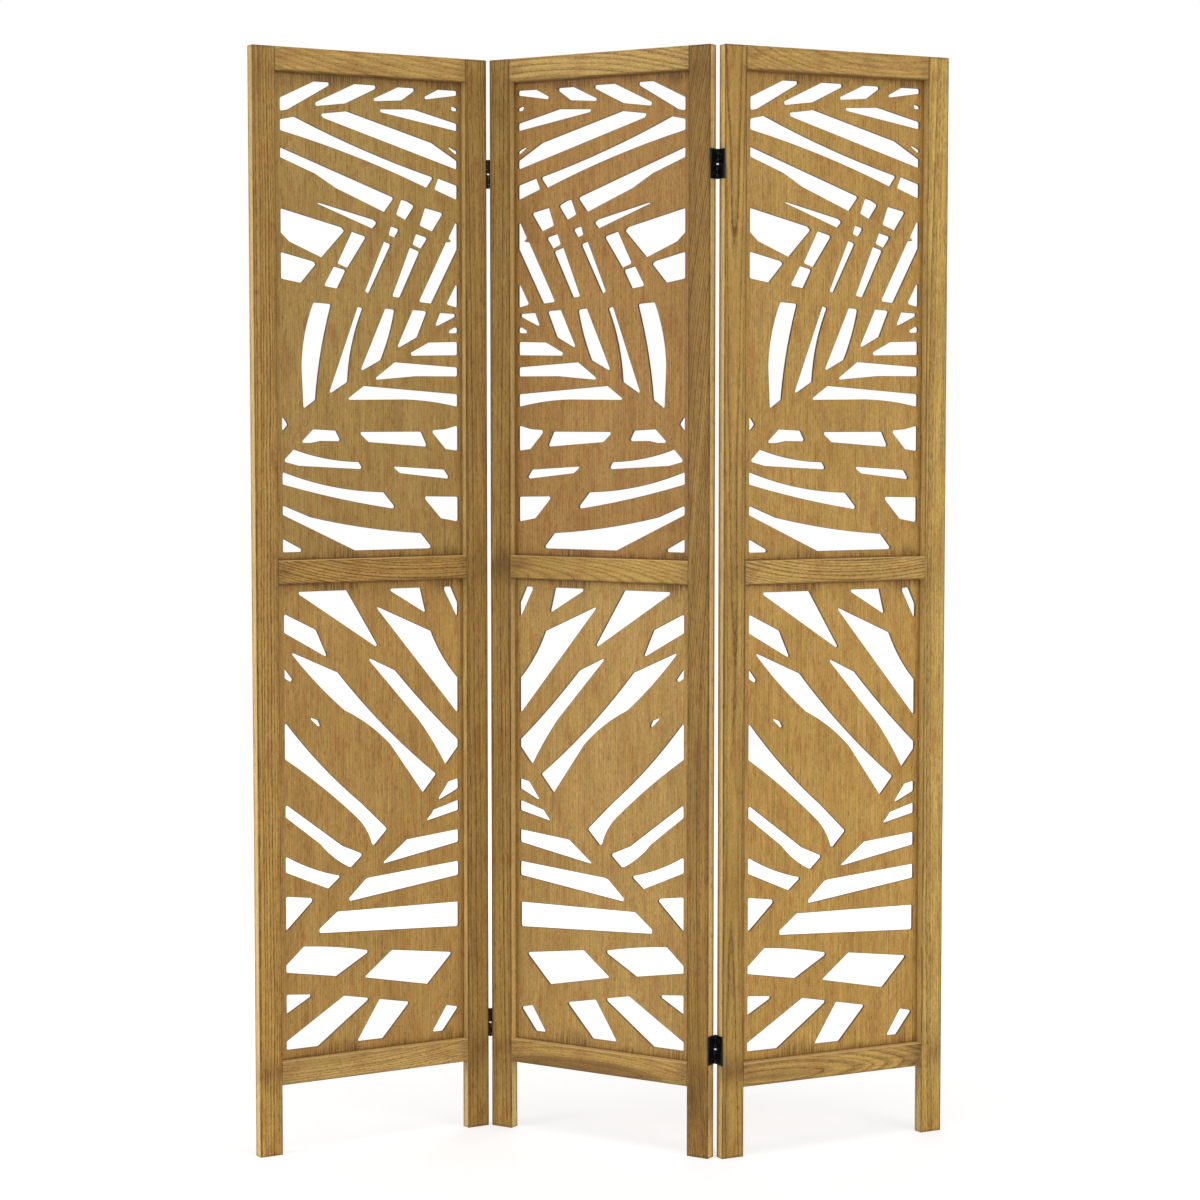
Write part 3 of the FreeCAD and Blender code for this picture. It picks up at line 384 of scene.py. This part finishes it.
# The burnt patches along each stile, as (height, half length, strength)
STILE_BURNS = {
    ("left", "left"): [(0.125, 0.035, 0.50), (1.66, 0.05, 0.18), (0.90, 0.04, 0.10)],
    ("left", "right"): [(0.12, 0.05, 0.28), (0.90, 0.05, 0.18), (1.64, 0.05, 0.12)],
    ("middle", "left"): [(0.12, 0.04, 0.30), (0.905, 0.045, 0.55), (1.62, 0.06, 0.20)],
    ("middle", "right"): [(0.09, 0.09, 0.50), (0.90, 0.05, 0.16), (1.66, 0.04, 0.20)],
    ("right", "left"): [(0.135, 0.04, 0.55), (0.90, 0.03, 0.18), (1.66, 0.05, 0.12)],
    ("right", "right"): [(0.13, 0.05, 0.28), (0.90, 0.05, 0.14), (1.65, 0.05, 0.12)],
}
# What the sawing of a piece settles. The heart's place is counted from the piece's own corner: across
# the grain, through the piece and along the grain.
FIGURE_INPUTS = ("Heart", "Pitch", "Taper", "Bow", "Narrowness")
STILE_FIGURES = {
    ("left", "left"): ((0.16, 0.02, 0.0), 0.0052, 0.0010, 0.000, 1.15),
    ("left", "right"): ((-0.11, 0.03, 0.3), 0.0060, 0.0060, 0.002, 1.60),
    ("middle", "left"): ((0.12, -0.04, 0.9), 0.0050, 0.0020, 0.012, 1.30),
    ("middle", "right"): ((-0.09, 0.02, 0.55), 0.0032, -0.0200, -0.085, 1.10),
    ("right", "left"): ((0.016, 0.014, 1.9), 0.0046, -0.0300, -0.012, 1.40),
    ("right", "right"): ((0.21, 0.03, 1.0), 0.0048, 0.0060, 0.016, 1.10),
}
# Each rail's tone in red, green and blue, its seed and its line contrast
RAILS = {
    ("left", "top"): ((1.05, 1.07, 1.08), 11.0, 0.85),
    ("left", "middle"): ((0.97, 0.92, 0.78), 12.0, 1.70),
    ("left", "bottom"): ((1.19, 1.24, 1.34), 13.0, 1.00),
    ("middle", "top"): ((1.10, 1.18, 1.25), 14.0, 1.25),
    ("middle", "middle"): ((1.02, 1.05, 0.93), 15.0, 1.00),
    ("middle", "bottom"): ((1.06, 1.07, 1.06), 16.0, 0.90),
    ("right", "top"): ((0.99, 0.98, 0.93), 17.0, 0.80),
    ("right", "middle"): ((1.14, 1.16, 1.10), 18.0, 1.60),
    ("right", "bottom"): ((1.17, 1.19, 1.14), 19.0, 1.35),
}
RAIL_FIGURES = {
    ("left", "top"): ((-0.090, 0.020, 0.00), 0.0095, 0.26, -0.20, 2.6),
    ("left", "middle"): ((0.070, 0.010, 0.00), 0.0046, -0.30, 0.55, 1.8),
    ("left", "bottom"): ((0.060, 0.010, 0.10), 0.0044, 0.02, 0.30, 2.0),
    ("middle", "top"): ((-0.030, 0.020, 0.10), 0.0080, 0.04, 0.45, 2.4),
    ("middle", "middle"): ((0.000, 0.020, 0.04), 0.0050, 0.11, 0.10, 2.6),
    ("middle", "bottom"): ((0.004, 0.006, 0.14), 0.0060, 0.00, 0.50, 2.2),
    ("right", "top"): ((0.040, 0.020, 0.24), 0.0056, -0.02, 0.60, 2.2),
    ("right", "middle"): ((0.080, 0.020, 0.22), 0.0050, 0.02, 0.60, 1.8),
    ("right", "bottom"): ((0.014, 0.008, 0.05), 0.0070, 0.00, 0.55, 2.8),
}
# Burnt patches on the rails, as (distance from the left stile, half length, strength)
RAIL_BURNS = {
    ("left", "bottom"): [(0.322, 0.020, 0.35)],
    ("middle", "middle"): [(0.010, 0.040, 0.40)],
    ("middle", "bottom"): [(0.320, 0.040, 0.50)],
    ("right", "top"): [(0.215, 0.020, 0.25)],
    ("right", "bottom"): [(0.320, 0.045, 0.75)],
}
# What is the same for all pieces of a kind
STILE_GRAIN = {"Wobble": 0.012, "Unevenness": 1.0, "Shortness": 90.0}
RAIL_GRAIN = {"Wobble": 0.013, "Unevenness": 0.8, "Shortness": 230.0}
BOARD_GRAIN = {"Wobble": 0.004, "Unevenness": 0.55, "Shortness": 95.0}
BOARD_CONTRAST = 0.55
BOARD_PITCH = 0.0031
BOARD_BOW = 0.0
BOARD_NARROWNESS = 1.0
# A board's heart lies this far off, give or take the scatter, and this deep
BOARD_HEART_AWAY = 1.6
BOARD_HEART_SCATTER = 0.3
BOARD_HEART_DEPTH = 0.2
# A board's taper is at most this, and changes with the seed by this step
BOARD_TAPER = 0.0012
BOARD_TAPER_STEP = 3.3
# The dark heartwood that shows on two rails: its radius and strength
HEARTWOOD = {("middle", "bottom"): (0.017, 0.70), ("right", "bottom"): (0.011, 0.30)}
# Each board's tone in red, green and blue, and its seed
BOARDS = {
    ("left", "upper"): ((0.93, 0.97, 1.00), 21.0),
    ("left", "lower"): ((1.08, 1.07, 1.08), 22.0),
    ("middle", "upper"): ((0.85, 0.78, 0.78), 23.0),
    ("middle", "lower"): ((1.04, 1.07, 1.15), 24.0),
    ("right", "upper"): ((1.08, 1.07, 1.02), 25.0),
    ("right", "lower"): ((1.16, 1.14, 1.04), 26.0),
}

# Stain and painted shade by distance in metres: a band is (centre, half width, strength), a border (reach,
# strength)
STILE_SHOULDER = (0.009, 0.26)
STILE_ARRIS = (0.0009, 0.0020, 0.85)
STILE_END = (0.005, 0.60)
# Painted shade on a stile's side, in the corner where it meets the board
BOARD_CORNER_SHADE = (BOARD_DEPTH, 0.0030, 0.60)
SIDE_ARRIS = (0.0012, 0.0018, 0.18)
RAIL_END = (0.030, 0.26)
RAIL_JOINT = (0.0016, 0.35)
# Painted shadow along a rail's lower edge and on its underside
RAIL_UNDERSIDE_SHADOW = (0.0008, 0.0026, 0.62)
RAIL_EDGE = (0.006, 0.20)
# Painted shade on a board near the stiles and the rails, in its recess
BOARD_SIDE_SHADE = (0.020, 0.16)
BOARD_END_SHADE = (0.014, 0.22)
# Stain and painted shadow by steps, as (start, end, strength): a painted shadow line on a board where it
# meets a rail, its blotches and its sawn walls
BOARD_SEAM_SHADOW = (0.0055, 0.001, 0.62)
BOARD_BLOTCH = (0.50, 0.80, 0.18)
SAWN_WALL = (0.70, 0.30, 0.80)
# How squarely a face looks along the panel's depth: below the first it is a side, above the second a front
SIDE_FACING, FRONT_FACING = 0.25, 0.60
# How steeply a face looks up, from no ledge to a ledge
NO_LEDGE, LEDGE = 0.35, 0.75
# The sides of the stiles, pale as sanded wood and lightened with painted light, and the ledges of the
# rails, with a painted highlight, as (how bare, plain colour)
OUTERMOST_SIDES_PALE_AND_LIT = (0.85, (0.67, 0.458, 0.168))
OTHER_SIDES_PALE_AND_LIT = (0.80, (0.74, 0.505, 0.190))
LEDGE_HIGHLIGHT = (0.85, (0.74, 0.515, 0.205))
# Worn edges, as (radius, reach, strength)
STILE_WEAR = (0.0010, 0.08, 0.50)
RAIL_WEAR = (0.0010, 0.08, 0.35)
BOARD_WEAR = (0.0022, 0.10, 0.62)
# The noise by which the stain and the painted shade on the frame come and go, with scales along X, Y and
# Z, and its steps
STILE_MOTTLE_NOISE = ((60.0, 60.0, 14.0), 3.0, 0.6)
STILE_MOTTLE_STEP = (0.20, 0.60)
RAIL_MOTTLE_NOISE = ((14.0, 60.0, 60.0), 3.0, 0.6)
RAIL_MOTTLE_STEP = (0.20, 0.62)
# The burnt streaks on the boards, their least length, and what the pressure of the rail adds to it
STREAK_NOISE = ((420.0, 420.0, 9.0), 2.0, 0.6)
STREAK_STEP = (0.38, 0.60, 0.85)
STREAK_LEAST = 0.004
PRESSURE_NOISE = ((11.0, 11.0, 0.0), 1.0, 0.5)
PRESSURE_STEP = (0.38, 0.62, 0.030)
BLOTCH_NOISE = ((9.0, 9.0, 6.0), 3.0, 0.6)


def border(tree, distance, reach, height):
    """The height at distance 0, falling smoothly to 0 at the reach."""
    return step_ramp(tree, distance, reach, 0.0, height)


def mottled(tree, stain_and_shade, mottle, step):
    """A stain, with the painted shade in it, that comes and goes over the wood."""
    return calc(tree, "MULTIPLY", stain_and_shade, step_ramp(tree, mottle, *step))


def stile_material(panel, side):
    tone, seed, contrast, fall = STILES[panel, side]
    material = new_material(f"{panel}_{side}_stile_wood")
    tree = material.node_tree
    place = panel_place(tree, panel)
    x, y, z = split(tree, place)[:3]
    x = calc(tree, "SUBTRACT", x, 0.0 if side == "left" else PANEL_WIDTH - STILE_WIDTH)
    facing = calc(tree, "ABSOLUTE", split(tree, panel_normal(tree, panel))["Y"])
    on_front = step_ramp(tree, facing, SIDE_FACING, FRONT_FACING)
    on_side = step_ramp(tree, facing, FRONT_FACING, SIDE_FACING)

    side_distance = nearest_end(tree, x, STILE_WIDTH)
    front_stain = strongest(tree, [
        border(tree, side_distance, *STILE_SHOULDER),
        patch(tree, side_distance, *STILE_ARRIS),
    ])
    # On a side, painted shade darkens the corner with the board, and stain darkens both long edges
    side_stain_and_shade = strongest(tree, [
        patch(tree, y, *BOARD_CORNER_SHADE),
        patch(tree, nearest_end(tree, y, THICKNESS), *SIDE_ARRIS),
    ])
    stains_and_shade = [patch(tree, z, *burn) for burn in STILE_BURNS[panel, side]]
    stains_and_shade += [
        calc(tree, "MULTIPLY", front_stain, on_front),
        calc(tree, "MULTIPLY", side_stain_and_shade, on_side),
        border(tree, nearest_end(tree, z, PANEL_HEIGHT), *STILE_END),
    ]
    mottle = noise(tree, place, *STILE_MOTTLE_NOISE)

    # The sides get a pale plain colour: sanded wood, with painted light on it
    outermost = (panel, side) in (("left", "left"), ("right", "right"))
    bare_and_lit_share, bare_and_lit_colour = OUTERMOST_SIDES_PALE_AND_LIT if outermost else OTHER_SIDES_PALE_AND_LIT
    shade_wood(
        tree, join(tree, x, y, z), seed,
        figure=STILE_GRAIN | dict(zip(FIGURE_INPUTS, STILE_FIGURES[panel, side])),
        colours=[tinted(colour, tone) for colour in STILE_COLOURS],
        contrast=contrast,
        stain_and_shade=mottled(tree, strongest(tree, stains_and_shade), mottle, STILE_MOTTLE_STEP),
        edge=worn_edge(tree, *STILE_WEAR),
        bare_and_lit=(calc(tree, "MULTIPLY", on_side, bare_and_lit_share), bare_and_lit_colour),
        lightness=calc(tree, "MULTIPLY_ADD", z, -fall / PANEL_HEIGHT, 1.0 + fall / 2),
    )
    return material


def rail_material(panel, rail):
    tone, seed, contrast = RAILS[panel, rail]
    material = new_material(f"{panel}_{rail}_rail_wood")
    tree = material.node_tree
    place = panel_place(tree, panel)
    underside, top = RAIL_LEVELS[rail]
    x, y, z = split(tree, place)[:3]
    x = calc(tree, "SUBTRACT", x, STILE_WIDTH)
    z = calc(tree, "SUBTRACT", z, underside)
    # The top of a rail, a ledge below a window, gets a painted highlight and no stain, but nothing apart
    # on the top rail
    upward = split(tree, panel_normal(tree, panel))["Z"]
    on_ledge = 0.0 if rail == "top" else step_ramp(tree, upward, NO_LEDGE, LEDGE)
    off_ledge = calc(tree, "SUBTRACT", 1.0, on_ledge)

    end_distance = nearest_end(tree, x, WINDOW_WIDTH)
    stains_and_shade = [
        border(tree, end_distance, *RAIL_END),
        border(tree, end_distance, *RAIL_JOINT),
        # Painted shadow along the rail's lower edge and on its underside
        patch(tree, z, *RAIL_UNDERSIDE_SHADOW),
        border(tree, nearest_end(tree, z, top - underside), *RAIL_EDGE),
    ]
    stains_and_shade += [patch(tree, x, *burn) for burn in RAIL_BURNS.get((panel, rail), [])]
    mottle = noise(tree, place, *RAIL_MOTTLE_NOISE)
    stain_and_shade = mottled(tree, strongest(tree, stains_and_shade), mottle, RAIL_MOTTLE_STEP)

    # The ledge's painted highlight is a plain pale colour
    bare_and_lit_share, bare_and_lit_colour = LEDGE_HIGHLIGHT
    shade_wood(
        tree, join(tree, z, y, x), seed,
        figure=RAIL_GRAIN | dict(zip(FIGURE_INPUTS, RAIL_FIGURES[panel, rail])),
        colours=[tinted(colour, tone) for colour in RAIL_COLOURS],
        contrast=contrast,
        stain_and_shade=calc(tree, "MULTIPLY", stain_and_shade, off_ledge),
        edge=calc(tree, "MULTIPLY", worn_edge(tree, *RAIL_WEAR), off_ledge),
        bare_and_lit=(calc(tree, "MULTIPLY", on_ledge, bare_and_lit_share), bare_and_lit_colour),
        heartwood=HEARTWOOD.get((panel, rail)),
    )
    return material


def board_material(panel, window):
    tone, seed = BOARDS[panel, window]
    material = new_material(f"{panel}_{window}_fretwork_wood")
    tree = material.node_tree
    place = panel_place(tree, panel)
    bottom, top = WINDOW_LEVELS[window]
    x, y, z = split(tree, place)[:3]
    x = calc(tree, "SUBTRACT", x, STILE_WIDTH)

    # Burnt streaks run in from the rails, longest where the board was pressed hardest
    rail_distance = nearest_end(tree, calc(tree, "SUBTRACT", z, bottom), top - bottom)
    pressure = step_ramp(tree, noise(tree, place, *PRESSURE_NOISE), *PRESSURE_STEP)
    reach = calc(tree, "ADD", pressure, STREAK_LEAST)
    near_rail = border(tree, calc(tree, "DIVIDE", rail_distance, reach), 1.0, 1.0)
    streaks = step_ramp(tree, noise(tree, place, *STREAK_NOISE), *STREAK_STEP)
    blotches = step_ramp(tree, noise(tree, place, *BLOTCH_NOISE), *BOARD_BLOTCH)
    # The sawn walls of the openings are burnt brown
    facing = calc(tree, "ABSOLUTE", split(tree, panel_normal(tree, panel))["Y"])
    stain_and_shade = strongest(tree, [
        calc(tree, "MULTIPLY", near_rail, streaks),
        # Painted shade on the board near the stiles and the rails, in its recess
        border(tree, nearest_end(tree, x, WINDOW_WIDTH), *BOARD_SIDE_SHADE),
        border(tree, rail_distance, *BOARD_END_SHADE),
        # Painted shadow line on the board where it meets a rail
        step_ramp(tree, rail_distance, *BOARD_SEAM_SHADOW),
        blotches,
        step_ramp(tree, facing, *SAWN_WALL),
    ])
    # The boards were cut far from the heart, so that their lines run nearly straight up
    heart = (BOARD_HEART_AWAY + BOARD_HEART_SCATTER * math.sin(seed), BOARD_HEART_DEPTH, 0.0)
    taper = BOARD_TAPER * math.sin(seed * BOARD_TAPER_STEP)
    sawing = (heart, BOARD_PITCH, taper, BOARD_BOW, BOARD_NARROWNESS)
    shade_wood(
        tree, join(tree, x, y, z), seed,
        figure=BOARD_GRAIN | dict(zip(FIGURE_INPUTS, sawing)),
        colours=[tinted(colour, tone) for colour in BOARD_COLOURS],
        contrast=BOARD_CONTRAST,
        stain_and_shade=stain_and_shade,
        edge=worn_edge(tree, *BOARD_WEAR),
    )
    return material


for panel in PANELS:
    for side in ("left", "right"):
        paint(f"{panel}_panel_{side}_stile", stile_material(panel, side))
    for rail in RAIL_LEVELS:
        paint(f"{panel}_panel_{rail}_rail", rail_material(panel, rail))
    for window in WINDOW_LEVELS:
        paint(f"{panel}_panel_{window}_fretwork", board_material(panel, window))

# Blackened steel: its noise, the tone of its palest blotches, and its paler colour along rubbed edges,
# partly wear and partly painted highlight
STEEL_BLOTCH_NOISE = ((260.0, 260.0, 260.0), 4.0, 0.6)
STEEL_GRIT_NOISE = ((2400.0, 2400.0, 2400.0), 2.0, 0.6)
STEEL_PALER = (1.7, 1.7, 1.7)
STEEL_PALENESS = 0.5
STEEL_RUBBED_HIGHLIGHT = (0.16, 0.155, 0.15)
STEEL_RUBBED_HIGHLIGHT_STEP = (0.45, 0.65)
STEEL_WEAR_HIGHLIGHT_RADIUS, STEEL_WEAR_HIGHLIGHT_REACH = 0.0005, 0.2
STEEL_BUMP, STEEL_RELIEF = 0.25, 0.0001
STEEL_GRIT_ROUGHNESS = 0.2
STEEL_METALLIC = 0.35
STEEL_SPECULAR = 0.34
# Raw wood of the dowels: fibres along X, and their colours
DOWEL_FIBRE_NOISE = ((60.0, 900.0, 900.0), 3.0, 0.6)
DOWEL_STOPS = [(0.3, (0.46, 0.30, 0.15)), (0.7, (0.66, 0.48, 0.28))]
DOWEL_ROUGHNESS, DOWEL_FIBRE_ROUGHNESS = 0.55, 0.2


def metal_material(name, colour, roughness, wear_and_highlight):
    """Blackened steel: a little uneven, and rubbed thin along its edges, where it is paler as wear and as
    a painted highlight.
    """
    material = new_material(name)
    tree = material.node_tree
    place = add_node(tree, "ShaderNodeTexCoord").outputs["Object"]
    blotch = noise(tree, place, *STEEL_BLOTCH_NOISE)
    grit = noise(tree, place, *STEEL_GRIT_NOISE)
    paleness = calc(tree, "MULTIPLY", blotch, STEEL_PALENESS)
    body = blend(tree, paleness, colour, tinted(colour, STEEL_PALER))
    edge = worn_edge(tree, STEEL_WEAR_HIGHLIGHT_RADIUS, STEEL_WEAR_HIGHLIGHT_REACH)
    # Painted highlight along the edges, together with rubbed wear
    rubbed_highlight = calc(tree, "MULTIPLY", edge, step_ramp(tree, blotch, *STEEL_RUBBED_HIGHLIGHT_STEP, wear_and_highlight))
    body = blend(tree, rubbed_highlight, body, STEEL_RUBBED_HIGHLIGHT)
    bump_inputs = {"Strength": STEEL_BUMP, "Distance": STEEL_RELIEF, "Height": grit}
    bump = add_node(tree, "ShaderNodeBump", bump_inputs)
    rough = calc(tree, "MULTIPLY_ADD", grit, STEEL_GRIT_ROUGHNESS, roughness)
    shader = tree.nodes["Principled BSDF"]
    tree.links.new(body, shader.inputs["Base Color"])
    tree.links.new(rough, shader.inputs["Roughness"])
    tree.links.new(bump.outputs["Normal"], shader.inputs["Normal"])
    shader.inputs["Metallic"].default_value = STEEL_METALLIC
    shader.inputs["Specular IOR Level"].default_value = STEEL_SPECULAR
    return material


def dowel_material():
    material = new_material("dowel_wood")
    tree = material.node_tree
    place = add_node(tree, "ShaderNodeTexCoord").outputs["Object"]
    fibre = noise(tree, place, *DOWEL_FIBRE_NOISE)
    rough = calc(tree, "MULTIPLY_ADD", fibre, DOWEL_FIBRE_ROUGHNESS, DOWEL_ROUGHNESS)
    shader = tree.nodes["Principled BSDF"]
    tree.links.new(ramp(tree, fibre, DOWEL_STOPS), shader.inputs["Base Color"])
    tree.links.new(rough, shader.inputs["Roughness"])
    return material


# Each metal's colour, roughness, and wear with painted highlight along its edges
hinge_black = metal_material("hinge_black", (0.0035, 0.0035, 0.0037), 0.30, 0.45)
screw_black = metal_material("screw_black", (0.020, 0.020, 0.0205), 0.20, 0.85)
pin_black = metal_material("pin_black", (0.012, 0.012, 0.0125), 0.20, 0.70)
raw_wood = dowel_material()
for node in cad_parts:
    if node.endswith(("leaf", "link")):
        paint(node, hinge_black)
    elif node.endswith("screws"):
        paint(node, screw_black)
    elif node.endswith("pins"):
        paint(node, pin_black)
    elif node.endswith("dowels"):
        paint(node, raw_wood)

# The floor is white to the camera but for a faint shadow, and pale to everything else. Far from the
# lamps it glows a little more, so that it stays white up to its edge.
FLOOR_HALF = 12.0
FLOOR_CORNERS = [(-1, -1), (1, -1), (1, 1), (-1, 1)]
# The floor's colour to the light it throws back, and under its glow
FLOOR_PALE = (0.80, 0.80, 0.80, 1)
FLOOR_SEEN = (0.55, 0.55, 0.55, 1)
WHITE = (1, 1, 1, 1)
NEAR_GLOW, FAR_GLOW = 0.57, 0.78
NEAR_RADIUS, FAR_RADIUS = 1.0, 2.6


def floor_paint():
    material = new_material("floor_paint")
    tree = material.node_tree
    tree.nodes.remove(tree.nodes["Principled BSDF"])
    ray = add_node(tree, "ShaderNodeLightPath").outputs
    seen = calc(tree, "MAXIMUM", ray["Is Camera Ray"], ray["Is Glossy Ray"])
    from_middle = calc_vector(tree, "LENGTH", add_node(tree, "ShaderNodeTexCoord").outputs["Object"])
    more = step_ramp(tree, from_middle, NEAR_RADIUS, FAR_RADIUS, FAR_GLOW - NEAR_GLOW)
    glow_strength = calc(tree, "ADD", more, NEAR_GLOW)
    glow = add_node(tree, "ShaderNodeEmission", {"Color": WHITE, "Strength": glow_strength})
    under_glow = add_node(tree, "ShaderNodeBsdfDiffuse", {"Color": FLOOR_SEEN})
    white = add_node(tree, "ShaderNodeAddShader", {0: under_glow.outputs[0], 1: glow.outputs[0]})
    pale = add_node(tree, "ShaderNodeBsdfDiffuse", {"Color": FLOOR_PALE})
    choice = add_node(tree, "ShaderNodeMixShader", {0: seen, 1: pale.outputs[0], 2: white.outputs[0]})
    tree.links.new(choice.outputs[0], tree.nodes["Material Output"].inputs["Surface"])
    return material


floor_mesh = bpy.data.meshes.new("floor")
corners = [(x * FLOOR_HALF, y * FLOOR_HALF, 0) for x, y in FLOOR_CORNERS]
floor_mesh.from_pydata(corners, [], [(0, 1, 2, 3)])
floor_mesh.materials.append(floor_paint())
floor = bpy.data.objects.new("floor", floor_mesh)
bpy.context.scene.collection.objects.link(floor)

# The world is white where it is looked at, and a soft light elsewhere
WORLD_LIGHT = 0.50
world = bpy.data.worlds.new("studio")
bpy.context.scene.world = world
world.use_nodes = True
sky = world.node_tree
ray = add_node(sky, "ShaderNodeLightPath").outputs
seen = strongest(sky, [ray["Is Camera Ray"], ray["Is Glossy Ray"], ray["Is Transmission Ray"]])
strength = calc(sky, "MULTIPLY_ADD", seen, 1.0 - WORLD_LIGHT, WORLD_LIGHT)
background = sky.nodes["Background"]
background.inputs["Color"].default_value = WHITE
sky.links.new(strength, background.inputs["Strength"])

LIGHT_TARGET = (0.0, 0.0, 0.85)
# Each light's place, width, height and watts
LIGHTS = {
    "light_left": ((-3.4, -1.6, 1.3), 1.8, 2.4, 58),
    "light_right": ((3.2, -2.6, 1.2), 1.8, 2.4, 44),
    "light_top": ((0.0, -0.6, 3.6), 2.4, 1.6, 26),
    "light_back": ((0.6, 3.4, 2.2), 2.4, 1.8, 34),
}
for name, (place, width, height, watts) in LIGHTS.items():
    light = bpy.data.lights.new(name, "AREA")
    light.shape = "RECTANGLE"
    light.size = width
    light.size_y = height
    light.energy = watts
    lamp = bpy.data.objects.new(name, light)
    lamp.location = place
    lamp.rotation_euler = (Vector(LIGHT_TARGET) - Vector(place)).to_track_quat("-Z", "Y").to_euler()
    bpy.context.scene.collection.objects.link(lamp)

# The camera, as the photograph was taken. Its tilt below the horizontal is in radians.
SENSOR_WIDTH = 36.0
PICTURE_PIXELS = 1200
FOCAL_PIXELS = 2856.82
CAMERA_PLACE = (-0.00653, -4.44444, 1.15842)
CAMERA_TILT = 0.068025
CLIP_END = 60.0
camera_data = bpy.data.cameras.new("camera")
camera_data.sensor_width = SENSOR_WIDTH
camera_data.lens = FOCAL_PIXELS / PICTURE_PIXELS * SENSOR_WIDTH
camera_data.clip_end = CLIP_END
camera = bpy.data.objects.new("camera", camera_data)
upright = math.radians(90)
camera.matrix_world = Matrix.Translation(CAMERA_PLACE) @ Matrix.Rotation(upright - CAMERA_TILT, 4, "X")
bpy.context.scene.collection.objects.link(camera)
bpy.context.scene.camera = camera

bpy.context.scene.view_settings.view_transform = "Standard"
